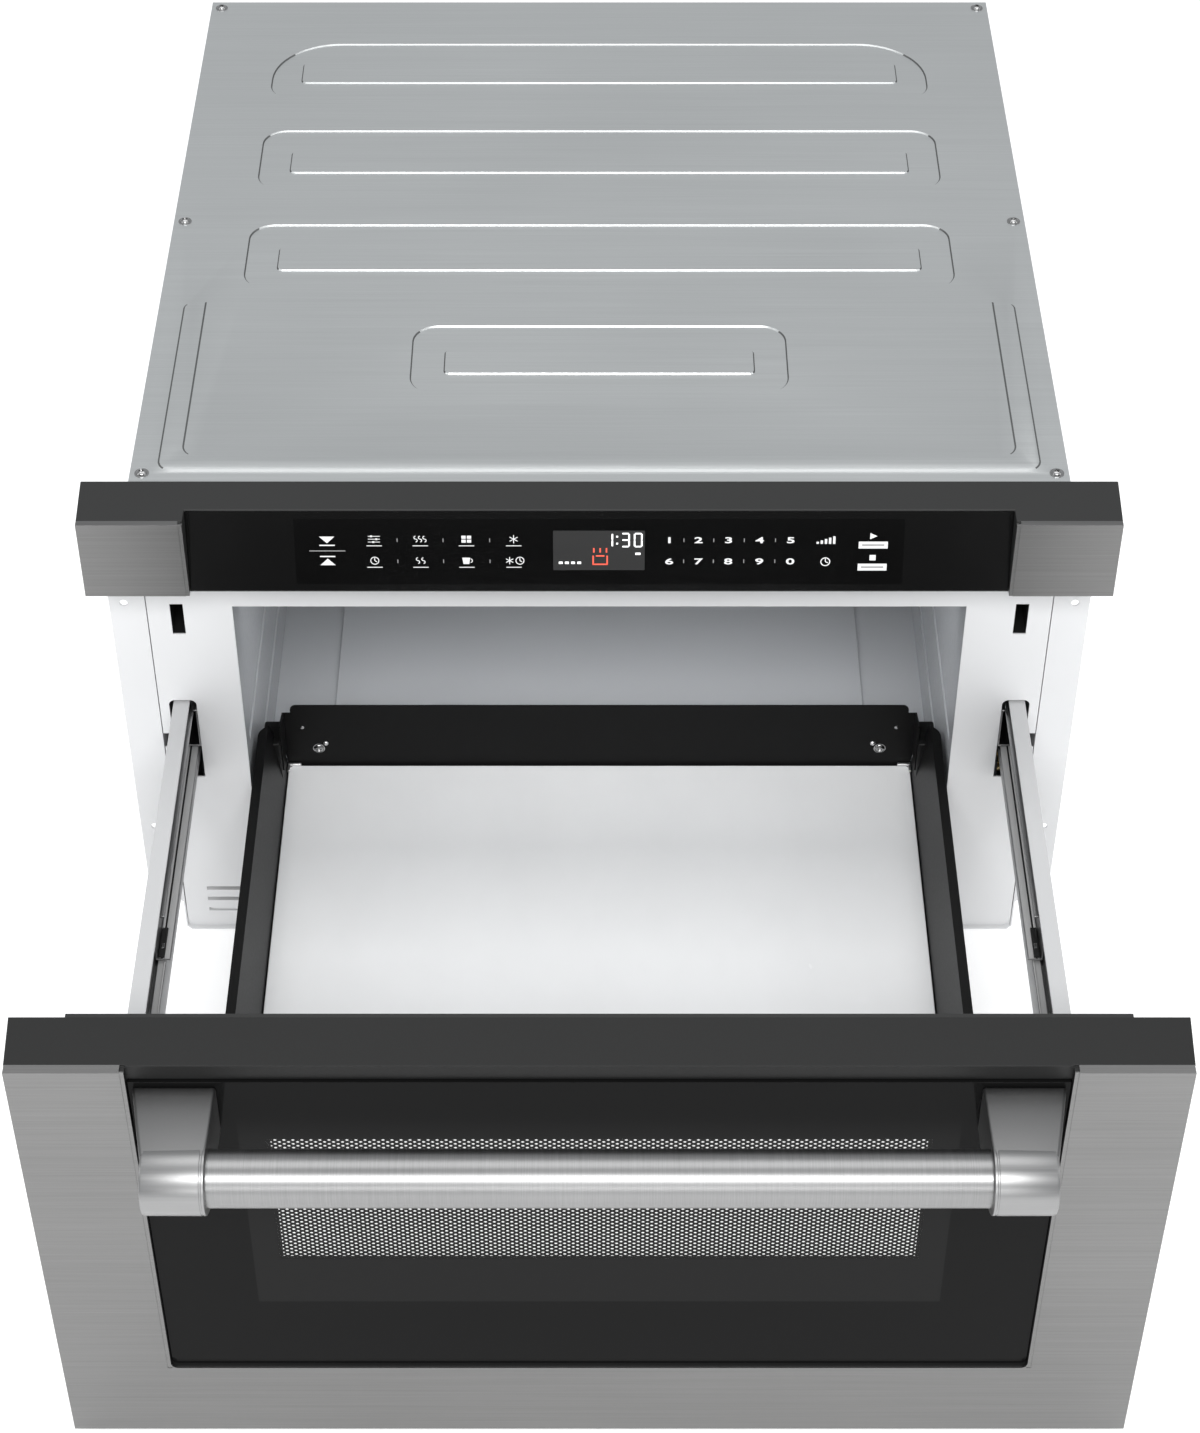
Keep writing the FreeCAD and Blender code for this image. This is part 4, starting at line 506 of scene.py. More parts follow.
def cuboid(name, low, high, radius=0.0):
    (a, b, c), (d, e, f) = low, high
    return block(name, [(a, b, c), (d, b, c), (d, b, f), (a, b, f),
                        (a, e, c), (d, e, c), (d, e, f), (a, e, f)], radius)


def side_cuboid(name, side, across, along, up, radius=0.0):
    """A cuboid at the left or right: its inner and outer x, then its reach in y and in z."""
    near, far = sorted(side * x for x in across)
    return cuboid(name, (near, along[0], up[0]), (far, along[1], up[1]), radius)


print("block helpers ready")

# %% [markdown]
# The nodes that come out of a press, a folding machine or a mould are named in one table
# with their body, their finish and the radius of their edges in metres. A radius of half a
# millimetre is hardly seen as a shape, but it catches a thin line of light.

# %% Round the folded and moulded nodes
SOFT = [
    ("control_bezel", "cabinet", "dark_plastic", dark_plastic, 0.0007),
    ("door_frame", "drawer", "dark_plastic", door_plastic, 0.0008),
    ("front_frame side_panel_left side_panel_right", "cabinet", "white_paint", white_coat, 0.0004),
    # The arms get the darker copy of the white coat: painted shade.
    ("slide_arm_left slide_arm_right", "drawer", "white_paint", white_coat_painted_shade, 0.0006),
    # The drawer rails get the darker zinc: painted shade.
    ("drawer_rail_left drawer_rail_right", "drawer", "zinc_steel", zinc_painted_shade, 0.0004),
    ("mid_rail_left", "middle_rail_left", "zinc_steel", zinc, 0.0004),
    ("mid_rail_right", "middle_rail_right", "zinc_steel", zinc, 0.0004),
    ("cabinet_rail_left cabinet_rail_right", "cabinet", "zinc_steel", zinc, 0.0004),
    ("pan_wall_left pan_wall_right", "drawer", "black_paint", black_coat, 0.0005),
    ("pan_rear_wall", "drawer", "black_paint", rear_coat, 0.0004),
    ("glass_tray", "drawer", "white_ceramic", white_ceramic, 0.0008),
    ("choke_cover", "drawer", "dark_plastic", dark_plastic, 0.0005),
    ("cavity_floor_plate", "cabinet", "cavity_paint", cavity_coat, 0.0006),
    ("rear_panel", "cabinet", "galvanised", galvanised_rear, 0.0003),
]
for names, body, slot, material, radius in SOFT:
    for node in names.split():
        piece = soften(node, body, material, radius)
        print("%-20s %6d faces" % (piece.name, len(piece.data.polygons)))

# %% [markdown]
# The stainless skins are folded from sheet. Two things tell a fold from a cast block: the
# returned top lip stops short of the corner, where the press tool needs relief, and a narrow
# margin along the inner edge lies a little deeper than the face. Both are boolean cuts.

# %% Cutting reliefs
def carve(piece, cutters):
    """Take the cutters out of a piece, then throw them away."""
    for cutter in cutters:
        relief = piece.modifiers.new("relief", "BOOLEAN")
        relief.operation = "DIFFERENCE"
        relief.object = cutter
        relief.solver = "EXACT"
    apply_modifiers(piece)
    for cutter in cutters:
        bpy.data.objects.remove(cutter)


print("cutters ready")

# %% [markdown]
# The base under the case is a folded tray. Its front lip shows below the frame, and its ends
# are cut off at a slant so that no sharp corner stands out. Two slanted blocks are taken away
# before the edges are rounded, in the order in which the sheet is cut and then folded.

# %% Base tray
SLANT = ((0.2764, 0.0), (0.2800, 0.0), (0.2800, -0.0045), (0.2719, -0.0045))
FOLD = 0.5 * MM  # outer radius of a fold

tray = welded_copy("chassis_base")
cutters = []
for side in (-1, 1):
    cutters.append(block("slant", [(side * x, y, z) for z in (-1.0 * MM, 1.2 * MM)
                                   for x, y in SLANT]))
carve(tray, cutters)
round_edges(tray, FOLD)
finish_piece(tray, "cabinet", white_coat, 0)
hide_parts("chassis_base")
print("base tray folded:", len(tray.data.polygons), "faces")

# %% [markdown]
# The two ends of the panel and the drawer front use the same sheet and the same fold, so one
# function dresses all three. It cuts while the edges are sharp and rounds them last.

# %% Stainless skins
def folded_skin(node, body, sides, front, lip_back, low, top):
    """A stainless skin with lip relief and a sunk margin along its inner edges."""
    inner, notch, margin = 0.2405, 0.2436, 0.2432
    piece = welded_copy(node)
    cutters = []
    for side in sides:
        cutters.append(side_cuboid("relief", side, (inner, notch),
                                   (front + 1.2 * MM, lip_back + MM),
                                   (top - 1.25 * MM, top + MM)))
        cutters.append(side_cuboid("margin", side, (inner, margin),
                                   (front - MM, front + 0.3 * MM), (low, top + MM)))
    carve(piece, cutters)
    round_edges(piece, FOLD)
    finish_piece(piece, body, stainless, 0)
    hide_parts(node)


for name, side in (("panel_end_left", -1), ("panel_end_right", 1)):
    folded_skin(name, "cabinet", (side,), -0.0407, -0.0367, 0.328, 0.3834)
folded_skin("door_skin", "drawer", (-1, 1), -0.3973, -0.3917, 0.0637, 0.3200)
print("skins folded")

# %% [markdown]
# The outer glass is one pane with ground edges. Its front carries the print, and only the
# faces that look backwards get the material with the wider clear middle. Two sheets laid on
# each other would do as well, but one closed pane has true edges.

# %% Door glass
def paint_backwards(piece, material):
    """Give the faces that look to the rear a material of their own."""
    piece.data.materials.append(material)
    for polygon in piece.data.polygons:
        if polygon.normal.y > 0.9:
            polygon.material_index = 1


glass = soften("door_glass", "drawer", door_glass_front, 0.3 * MM, 2)
paint_backwards(glass, door_glass_back)
print("door glass:", len(glass.data.polygons), "faces")

# %% [markdown]
# The cover is one sheet with four sunk rings and a raised bead. On the real sheet the bends
# are tighter and shallower than a drawing shows them, so each foot is drawn back towards its
# rim. The faces at the short ends of the stampings, chosen by the way they face, get a much
# darker copy of the cover's zinc: painted shade, for the dark lines along those sides.

# %% Stamped cover
CASE_TOP, SUNK, RAISED = 0.3804, 2.0 * MM, 1.0 * MM
DRAWN_IN = 0.6  # how far each foot moves towards its rim
NEAR, CRISP = 0.1 * MM, 25  # a level's tolerance; the angle that keeps a shallow bend crisp


def nearest_rim(point, rims):
    """The closest spot to a point on any of the rim's straight pieces."""
    best = None
    for start, end in rims:
        spot, along = intersect_point_line(point, start, end)
        spot = start if along < 0 else end if along > 1 else spot
        if best is None or (spot - point).length < (best - point).length:
            best = spot
    return best


def stamped_cover():
    cover = welded_copy("top_cover")
    work = bmesh.new()
    work.from_mesh(cover.data)
    rims = [tuple(v.co.copy() for v in edge.verts) for edge in work.edges
            if all(abs(v.co.z - CASE_TOP) < NEAR for v in edge.verts)]
    feet = [v for v in work.verts if abs(v.co.z - CASE_TOP + SUNK) < NEAR
            or abs(v.co.z - CASE_TOP - RAISED) < NEAR]
    for vertex in feet:
        vertex.co = vertex.co.lerp(nearest_rim(vertex.co, rims), DRAWN_IN)
    work.to_mesh(cover.data)
    work.free()
    finish_piece(cover, "cabinet", galvanised, CRISP)
    cover.data.materials.append(slope_painted_shade)
    for polygon in cover.data.polygons:
        facing = polygon.normal
        # Faces of the short ends get the painted shade.
        if 0.15 < abs(facing.z) < 0.97 and abs(facing.x) > abs(facing.y):
            polygon.material_index = 1
    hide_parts("top_cover")
    print("cover:", len(feet), "points drawn in,", len(cover.data.polygons), "faces")


stamped_cover()

# %% [markdown]
# The other solids keep their CAD mesh and only get a finish. Their material slots are
# filled from one table, so that nothing is left with the grey that it was packed with.

# %% Paint the remaining nodes
FINISH = [
    (galvanised_rear, "rail_bracket_left rail_bracket_right drive_bracket waveguide"),
    (cavity_coat, "cavity_liner"),
    (stainless_bar, "handle_bar"),
    (post_steel, "handle_bracket_left handle_bracket_right"),
    (black_coat, "pan_base window_screen"),
    (touch_black, "touch_glass"),
    (clear_pane, "inner_pane"),
    (screw_steel, "case_screws pan_screws"),
    (board_coat, "control_board"),
    (bare_aluminium, "magnetron stirrer hv_capacitor"),
    (core_varnish, "hv_transformer"),
    (motor_coat, "fan_motor stirrer_motor drive_motor"),
    (acetal, "latch_hook_left latch_hook_right drive_rack"),
    (brass, "drive_pinion"),
    (bulb_glass, "cavity_lamp"),
    (black_plastic, "cord_gland display_module fan_shroud fan_wheel"),
    (black_plastic, "latch_block_left latch_block_right interlock_switches"),
]
painted = [(name, material) for material, names in FINISH for name in names.split()]
for name, material in painted:
    paint_over(nodes[name].data, material)
print("painted", len(painted), "nodes")

# %% [markdown]
# ## The window screen
# A microwave's window has a steel sheet full of holes, far smaller than the wave, behind the
# glass. Painted dots would vanish from the side, so the holes are real: the sheet is cut into
# lozenge cells, and each cell is a ring of eight faces round its own hole.

# %% One cell of the screen
SCREEN_Y, HOLE_LIP = -0.3868, 0.25 * MM
PITCH_X, PITCH_Z, HOLE = 4.72 * MM, 3.17 * MM, 0.84 * MM


def ring_points(x, z, half_x, half_z):
    """The lozenge's eight outer points and the hole's eight points, in the same order."""
    outer = [(half_x, 0), (half_x / 2, half_z / 2), (0, half_z), (-half_x / 2, half_z / 2),
             (-half_x, 0), (-half_x / 2, -half_z / 2), (0, -half_z), (half_x / 2, -half_z / 2)]
    hole = [(HOLE * 1.12 * math.cos(k * math.pi / 4), HOLE * math.sin(k * math.pi / 4))
            for k in range(8)]
    return [[(x + a, z + b) for a, b in ring] for ring in (outer, hole)]


def punch(work, x, z):
    """Add the cell round (x, z): a flat ring and the short wall of its hole."""
    outer, hole = ring_points(x, z, PITCH_X / 2, PITCH_Z / 2)
    rim = [work.verts.new((a, SCREEN_Y, b)) for a, b in outer]
    edge = [work.verts.new((a, SCREEN_Y, b)) for a, b in hole]
    lip = [work.verts.new((a, SCREEN_Y + HOLE_LIP, b)) for a, b in hole]
    for k in range(8):
        n = (k + 1) % 8
        work.faces.new((rim[k], rim[n], edge[n], edge[k]))
        work.faces.new((edge[k], edge[n], lip[n], lip[k]))


print("a cell of the screen is %.2f by %.2f mm" % (PITCH_X / MM, PITCH_Z / MM))

# %% [markdown]
# The cells fill the field in rows that are shifted by half a step. A plain border closes the
# sheet round them. It lies a hair further back, so that no gap shows at the zigzag edge.

# %% Punched screen
COLUMNS, ROWS, FIELD_LOW = 74, 34, 0.1521
SHEET_HALF, SHEET_LOW, SHEET_HIGH = 0.1895, 0.115, 0.285


def punched_screen():
    work = bmesh.new()
    start = -COLUMNS * PITCH_X / 2
    count = 0
    for j in range(2 * ROWS - 1):
        shift = 0.5 if j % 2 else 0.0
        for i in range(COLUMNS - (j % 2)):
            punch(work, start + (i + 0.5 + shift) * PITCH_X, FIELD_LOW + (j + 1) * PITCH_Z / 2)
            count += 1
    bmesh.ops.remove_doubles(work, verts=work.verts, dist=0.02 * MM)
    top = FIELD_LOW + ROWS * PITCH_Z
    back = SCREEN_Y + 0.1 * MM
    left, right = start + PITCH_X / 2, -start - PITCH_X / 2
    for a, b, c, d in ((-SHEET_HALF, SHEET_LOW, SHEET_HALF, FIELD_LOW + PITCH_Z / 2),
                       (-SHEET_HALF, top - PITCH_Z / 2, SHEET_HALF, SHEET_HIGH),
                       (-SHEET_HALF, FIELD_LOW, left, top), (right, FIELD_LOW, SHEET_HALF, top)):
        work.faces.new([work.verts.new((x, back, z))
                        for x, z in ((a, b), (c, b), (c, d), (a, d))])
    print("holes:", count)
    return piece_from(work, "punched_screen")


# The screen's coat glows a little: painted light that evens out the shade the glass's print casts
# on the screen's border.
screen_paint_painted_light = Paint("screen_coat_painted_light", Specular_IOR_Level=0.0, Emission_Strength=1.0)
screen_haze = screen_paint_painted_light.noise(30.0, 2.0)
screen_paint_painted_light.set("Base Color", screen_paint_painted_light.mix(screen_haze, grey(0.005), grey(0.006)))
screen_paint_painted_light.set("Emission Color", screen_paint_painted_light.mix(screen_haze, grey(0.029), grey(0.032)))
screen_paint_painted_light.set("Roughness", screen_haze * 0.1 + 0.6)
screen = finish_piece(punched_screen(), "drawer", screen_paint_painted_light.material)
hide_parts("window_screen")

# %% [markdown]
# A pale film is laid over the back of the screen to keep damp out of its holes. It is what
# makes the holes look like bright dots from the kitchen side. It glows a little in place of
# the lit cavity behind it, and only on the side that looks at the holes.

# %% Film behind the screen
def film_material(name, level, glow):
    paint = Paint(name, Roughness=0.5, Emission_Strength=glow)
    haze = paint.noise(30.0, 2.0)
    for socket in ("Base Color", "Emission Color"):
        paint.set(socket, paint.mix(haze, grey(level * 0.95), grey(level)))
    return paint.material


def corner_arcs(low, high, corner, steps):
    """Round a rectangle: for each point its arc's middle (a, b) and the way out (c, s)."""
    (a0, b0), (a1, b1) = low, high
    path = []
    for a, b, start in ((a1 - corner, b1 - corner, 0), (a0 + corner, b1 - corner, 90),
                        (a0 + corner, b0 + corner, 180), (a1 - corner, b0 + corner, 270)):
        for k in range(steps + 1):
            turn = math.radians(start + 90 * k / steps)
            path.append((a, b, math.cos(turn), math.sin(turn)))
    return path


def rounded_sheet(name, low, high, y, corner, thickness):
    """A thin upright sheet with rounded corners: low and high are its (x, z) corners."""
    work = bmesh.new()
    front = work.faces.new([work.verts.new((a + corner * c, y, b + corner * s))
                            for a, b, c, s in corner_arcs(low, high, corner, 6)])
    grown = bmesh.ops.extrude_face_region(work, geom=[front])
    bmesh.ops.translate(work, vec=(0, thickness, 0),
                        verts=[v for v in grown["geom"] if isinstance(v, bmesh.types.BMVert)])
    bmesh.ops.recalc_face_normals(work, faces=work.faces)
    return piece_from(work, name)


FILM_Y = -0.3859
film = rounded_sheet("steam_film", (-0.1800, 0.1470), (0.1800, 0.2640), FILM_Y, 4 * MM,
                     0.15 * MM)
finish_piece(film, "drawer", film_material("steam_film", 0.86, 0.78))
paint_backwards(film, film_material("steam_film_back", 0.45, 0.0))
print("film laid")

# %% [markdown]
# ## Turned and built pieces
# Bars, sleeves, screws and balls are bodies of revolution. A profile of (radius, distance)
# points is spun about an axis, which gives clean rings of faces that shade smoothly.

# %% Spinning a profile
def turned(name, profile, origin, axis, steps):
    """Spin (radius, distance) points about an axis through an origin."""
    work = bmesh.new()
    lift = Vector((0, 0, 1)).rotation_difference(Vector(axis)).to_matrix()
    rings = []
    for radius, distance in profile:
        if radius <= 0:
            rings.append([work.verts.new(Vector(origin) + lift @ Vector((0, 0, distance)))])
            continue
        rings.append([work.verts.new(Vector(origin) + lift @ Vector(
            (radius * math.cos(2 * math.pi * k / steps),
             radius * math.sin(2 * math.pi * k / steps), distance))) for k in range(steps)])
    for low, high in zip(rings, rings[1:]):
        for k in range(steps):
            n = (k + 1) % steps
            loop = [low[k % len(low)], low[n % len(low)], high[n % len(high)], high[k % len(high)]]
            unique = list(dict.fromkeys(loop))
            if len(unique) > 2:
                work.faces.new(unique)
    bmesh.ops.recalc_face_normals(work, faces=work.faces)
    return piece_from(work, name)


print("lathe ready")

# %% [markdown]
# The handle is a tube of brushed steel. Its scratches run round it, because it is brushed
# while it turns. Many steps keep the long highlight straight.

# %% Handle bar
HANDLE_Y, HANDLE_Z = -0.4403, 0.2895
BAR_HALF, BAR_RADIUS = 0.2085, 14.8 * MM
bar = turned("handle_bar_dressed", [(0, -BAR_HALF), (BAR_RADIUS, -BAR_HALF),
                                    (BAR_RADIUS, BAR_HALF), (0, BAR_HALF)],
             (0, HANDLE_Y, HANDLE_Z), (1, 0, 0), 128)
finish_piece(bar, "drawer", stainless_bar)
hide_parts("handle_bar")
print("handle bar spun")

# %% [markdown]
# Each end of the bar sits in a ferrule: a short sleeve with a thin lip, joined to a post that
# widens towards the glass. The post is one block with generous edges, so a bevel on a
# tapered box is the quickest true form.

# %% Handle brackets
SIDES = ((-1, "left"), (1, "right"))
GLASS_FACE_Y, FERRULE_X = -0.3943, 0.1965
FERRULE = [(0, 0.0330), (0.0168, 0.0330), (0.0180, 0.0325), (0.0185, 0.0313), (0.0186, 0.0030),
           (0.0183, 0.0027), (0.0183, 0.0020), (0.0186, 0.0016), (0.0185, 0.0006),
           (0.0175, 0.0), (0.0150, 0.0), (0.0149, 0.004)]


def bracket(side, name):
    sleeve = turned("ferrule_" + name, FERRULE, (side * FERRULE_X, HANDLE_Y, HANDLE_Z),
                    (side, 0, 0), 96)
    finish_piece(sleeve, "drawer", ferrule_steel)
    tip_in, tip_out, root_in, root_out = (side * v for v in (0.1967, 0.2296, 0.1956, 0.2386))
    near, far, tip, root = HANDLE_Y - 1.5 * MM, GLASS_FACE_Y, 18.4 * MM, 16.8 * MM
    corners = []
    for y, half, inner, outer in ((near, tip, tip_in, tip_out), (far, root, root_in, root_out)):
        low, high = HANDLE_Z - half, HANDLE_Z + half
        corners += [(inner, y, low), (outer, y, low), (outer, y, high), (inner, y, high)]
    post = block("post_" + name, corners, 1.8 * MM, 4)
    finish_piece(post, "drawer", post_steel)
    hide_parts("handle_bracket_" + name)


for side, name in SIDES:
    bracket(side, name)
print("brackets built")

# %% [markdown]
# ## Screws
# The case screws are dome-headed with a cross recess. Two crossed bars are cut out of one
# turned head, and the finished mesh is shared by every screw.

# %% Cross-recessed screws
def screw_mesh(radius, height, washer):
    """A dome on a thin washer with a cross cut into it; its seat is at the origin."""
    seat = 0.4 * MM
    profile = [(0, -0.5 * MM), (washer, -0.5 * MM), (washer, 0.3 * MM), (radius, seat)]
    for k in range(1, 8):
        turn = k / 8 * math.pi / 2
        profile.append((radius * math.cos(turn), seat + (height - seat) * math.sin(turn)))
    profile.append((0, height))
    head = turned("screw_head", profile, (0, 0, 0), (0, 0, 1), 40)
    reach, width = radius * 0.52, radius * 0.13
    carve(head, [cuboid("arm", (-along, -across, height * 0.35), (along, across, height * 2))
                 for along, across in ((reach, width), (width, reach))])
    mesh = head.data
    bpy.data.objects.remove(head)
    return mesh


def set_screw(name, mesh, place, axis, body, turn):
    piece = link_mesh(name, mesh)
    lift = Vector((0, 0, 1)).rotation_difference(Vector(axis))
    piece.matrix_world = (Matrix.Translation(place) @ lift.to_matrix().to_4x4()
                          @ Matrix.Rotation(turn, 4, "Z"))
    return finish_piece(piece, body, screw_steel)


print("screw maker ready")

# %% [markdown]
# Three screws hold each long edge of the cover and two each edge of the rear panel. Nobody
# lines up their crosses, so each one is turned by chance.

# %% Case and pan screws
SCREW_X, REAR_Y, PAN_REAR_Y = 0.2698, 0.5480, 0.0677
case_head = screw_mesh(3.2 * MM, 2.3 * MM, 4.3 * MM)
case_pieces = []
for side in (-1, 1):
    for y in (0.011, 0.272, 0.540):
        case_pieces.append(((side * SCREW_X, y, CASE_TOP), (0, 0, 1)))
    for z in (0.060, 0.340):
        case_pieces.append(((side * SCREW_X, REAR_Y, z), (0, 1, 0)))
for k, (place, axis) in enumerate(case_pieces):
    piece = set_screw("case_screw_%02d" % k, case_head, place, axis, "cabinet", random.random())
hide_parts("case_screws")
pan_head = screw_mesh(3.4 * MM, 1.9 * MM, 4.0 * MM)
for side in (-1, 1):
    piece = set_screw("pan_screw_%d" % (side > 0), pan_head, (side * 0.1865, PAN_REAR_Y, 0.101),
                      (0, -1, 0), "drawer", random.random())
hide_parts("pan_screws")
print("screws set:", len(case_pieces) + 2)

# %% [markdown]
# ## The slanted touch panel
# The marks are thin shapes laid on the leaning glass. They are drawn flat in two numbers, x
# across and v up the slope in millimetres, and one function carries them on to the glass.
# Only plain digits and simple signs are used.

# %% Drawing on the glass
GLASS_LOW = Vector((0, -0.0370, 0.3307))
SLOPE = Vector((0, 10.5, 51.3)).normalized()  # the glass leans back 10.5 mm over 51.3 mm
OUTWARD = Vector((0, -SLOPE.z, SLOPE.y))


def on_glass(x, v, lift):
    return GLASS_LOW + Vector((x * MM, 0, 0)) + SLOPE * (v * MM) + OUTWARD * (lift * MM)


class Marks:
    """Flat polygons on the glass that become one piece."""

    def __init__(self, name, material, lift=0.06):
        self.name, self.material, self.lift = name, material, lift
        self.work = bmesh.new()

    def shape(self, points):
        self.work.faces.new([self.work.verts.new(on_glass(x, v, self.lift)) for x, v in points])

    def bar(self, x, v, width, height):
        self.shape([(x - width / 2, v - height / 2), (x + width / 2, v - height / 2),
                    (x + width / 2, v + height / 2), (x - width / 2, v + height / 2)])

    def stroke(self, x0, v0, x1, v1, width):
        along = Vector((x1 - x0, v1 - v0)).normalized() * width / 2
        ax, av = along.x, along.y
        self.shape([(x0 + av, v0 - ax), (x1 + av, v1 - ax), (x1 - av, v1 + ax),
                    (x0 - av, v0 + ax)])

    def ring(self, x, v, radius, width, start=0, stop=360, steps=28):
        spots = [math.radians(start + (stop - start) * k / steps) for k in range(steps + 1)]
        for a, b in zip(spots, spots[1:]):
            self.shape([(x + r * math.cos(t), v + r * math.sin(t)) for r, t in (
                (radius, a), (radius, b), (radius - width, b), (radius - width, a))])

    def text(self, words, x, v, height, stretch):
        """Words centred on (x, v); capitals fill 0.70 of the type's size."""
        letters = bpy.data.curves.new("letters", "FONT")
        letters.body = words
        letters.align_x, letters.align_y = "CENTER", "CENTER"
        letters.offset = 0.022
        holder = bpy.data.objects.new("letters", letters)
        bpy.context.collection.objects.link(holder)
        bpy.context.view_layer.update()
        mesh = bpy.data.meshes.new_from_object(
            holder.evaluated_get(bpy.context.evaluated_depsgraph_get()))
        scale = height / 0.70
        for vertex in mesh.vertices:
            vertex.co = on_glass(x + vertex.co.x * scale * stretch, v + vertex.co.y * scale,
                                 self.lift)
        self.work.from_mesh(mesh)
        bpy.data.objects.remove(holder)

    def done(self):
        finish_piece(piece_from(self.work, self.name), "cabinet", self.material)


print("pen ready")

# %% [markdown]
# The glass has a blacker field under the keys, and the display shows through a grey window.
# Each layer lies a few hundredths of a millimetre above the one before it.

# %% Touch field and display window
field = Marks("touch_field", touch_field, 0.02)
field.bar(0, 25.9, 356, 43.3)
field.done()
window = Marks("display_window", display_grey, 0.04)
window.bar(-0.2, 26.8, 53.5, 26.2)
window.done()
print("touch field and display laid")

# %% [markdown]
# The keys have no relief: they are places on the glass. Digits are set as text and turned into
# mesh, arrows and bars are plain polygons, and each function sign is a few strokes.

# %% Digits, drawer arrows, start and stop
ROW_HIGH, ROW_LOW = 34.3, 20.0
keys = Marks("panel_keys", mark_white)
for digits, v in (("12345", 33.4), ("67890", 19.3)):
    for digit, x in zip(digits, (40.9, 57.9, 75.5, 93.7, 111.8)):
        keys.text(digit, x, v, 3.8, 1.85)
# out and in arrows for the drawer, with a line between them
keys.shape([(-163.5, 36.0), (-154.5, 36.0), (-159.0, 31.6)])
keys.bar(-159.0, 30.2, 9.0, 0.8)
keys.shape([(-163.5, 17.0), (-159.0, 21.4), (-154.5, 17.0)])
keys.bar(-159.0, 22.8, 9.0, 0.8)
# heat level: rising bars; time: a dial
for k in range(5):
    keys.bar(127.5 + 2.4 * k, 31.9 + 0.45 * k, 1.4, 1.4 + 0.9 * k)
keys.ring(132.4, 19.3, 2.9, 0.6)
keys.stroke(132.4, 19.3, 132.4, 21.4, 0.55)
keys.stroke(132.4, 19.3, 134.0, 18.6, 0.55)
# start and stop
keys.shape([(158.0, 38.4), (158.0, 34.2), (162.2, 36.3)])
keys.bar(160.0, 30.4, 17.0, 4.6)
keys.bar(160.0, 22.0, 3.6, 3.6)
keys.bar(160.0, 15.7, 17.0, 4.6)
print("digits, arrows, start and stop drawn")

# %% [markdown]
# The function signs are the common ones of a kitchen: a snowflake, waves of heat, a cup, a
# grid, a dial and three sliders. They are added to the same piece as the digits. Strokes and
# rings stay sharp from near by, which a picture laid on the glass would not.

# %% Function signs
def snowflake(x, v, reach):
    for turn in range(3):
        a = math.radians(90 + 60 * turn)
        dx, dv = reach * math.cos(a), reach * math.sin(a)
        keys.stroke(x - dx, v - dv, x + dx, v + dv, 0.5)


def waves(x, v, count, pitch):
    for k in range(count):
        middle = x + (k - (count - 1) / 2) * pitch
        keys.ring(middle, v + 1.0, 1.2, 0.5, 90, 270, 10)
        keys.ring(middle, v - 0.9, 1.2, 0.5, -90, 90, 10)


def cup(x, v):
    keys.shape([(x - 2.6, v + 2.0), (x - 2.0, v - 2.2), (x + 1.4, v - 2.2), (x + 2.0, v + 2.0)])
    keys.ring(x + 2.0, v, 1.5, 0.5, -80, 80, 10)


def grid(x, v):
    for a in (-1.6, 1.6):
        for b in (-1.3, 1.3):
            keys.bar(x + a, v + b, 2.5, 2.0)


def sliders(x, v):
    for k, knob in enumerate((-1.6, 1.4, -0.4)):
        up = v + 1.9 - 1.9 * k
        keys.bar(x, up, 7.0, 0.4)
        keys.bar(x + knob, up, 1.2, 1.2)


def dial(x, v):
    keys.ring(x, v, 2.6, 0.5)
    keys.stroke(x, v, x, v + 1.8, 0.5)
    keys.stroke(x, v, x + 1.3, v - 0.8, 0.5)


sliders(-131.5, ROW_HIGH)
waves(-104.6, ROW_HIGH, 3, 2.6)
grid(-77.6, ROW_HIGH)
snowflake(-50.0, ROW_HIGH, 2.7)
dial(-131.5, ROW_LOW)
waves(-104.6, ROW_LOW, 2, 3.2)
cup(-77.6, ROW_LOW)
snowflake(-52.5, ROW_LOW, 2.4)
dial(-46.5, ROW_LOW)
for x in (-131.5, -104.6, -77.6, -50.0):
    for v in (ROW_HIGH, ROW_LOW):
        keys.bar(x, v - 4.4, 9.0, 0.5)
keys.done()

ticks = Marks("panel_separators", mark_grey)
for v in (33.6, 19.6):
    for x in (-118.0, -91.2, -64.0, 49.4, 66.8, 84.6, 102.8):
        ticks.bar(x, v, 0.5, 2.4)
ticks.bar(-159.0, 26.5, 21.0, 0.6)
ticks.lift = 0.09
for v in (30.4, 15.7):
    ticks.bar(160.0, v, 13.0, 1.0)
ticks.done()
print("keys drawn")

# %% [markdown]
# The display is a small segment readout. Each digit is up to seven bars; the set that is lit
# says which digit it is. A clock-like reading is enough to show that the oven is alive.

# %% Display reading
SEGMENTS = {"0": "abcdef", "1": "bc", "3": "abcdg"}
FOOT, WIDTH, HALF, STROKE, GAP = 29.4, 4.2, 4.3, 0.9, 0.5  # of a digit, in millimetres


def segment_digit(marks, digit, x):
    """Lit bars of a seven-segment digit whose left edge is at x."""
    middle, right = x + WIDTH / 2, x + WIDTH
    upper, lower = FOOT + 1.5 * HALF, FOOT + 0.5 * HALF
    places = {"a": (middle, FOOT + 2 * HALF, WIDTH, STROKE),
              "g": (middle, FOOT + HALF, WIDTH, STROKE), "d": (middle, FOOT, WIDTH, STROKE),
              "f": (x, upper, STROKE, HALF), "b": (right, upper, STROKE, HALF),
              "e": (x, lower, STROKE, HALF), "c": (right, lower, STROKE, HALF)}
    for name in SEGMENTS[digit]:
        a, b, wide, high = places[name]
        marks.bar(a, b, wide - (GAP if wide > high else 0), high - (GAP if high > wide else 0))


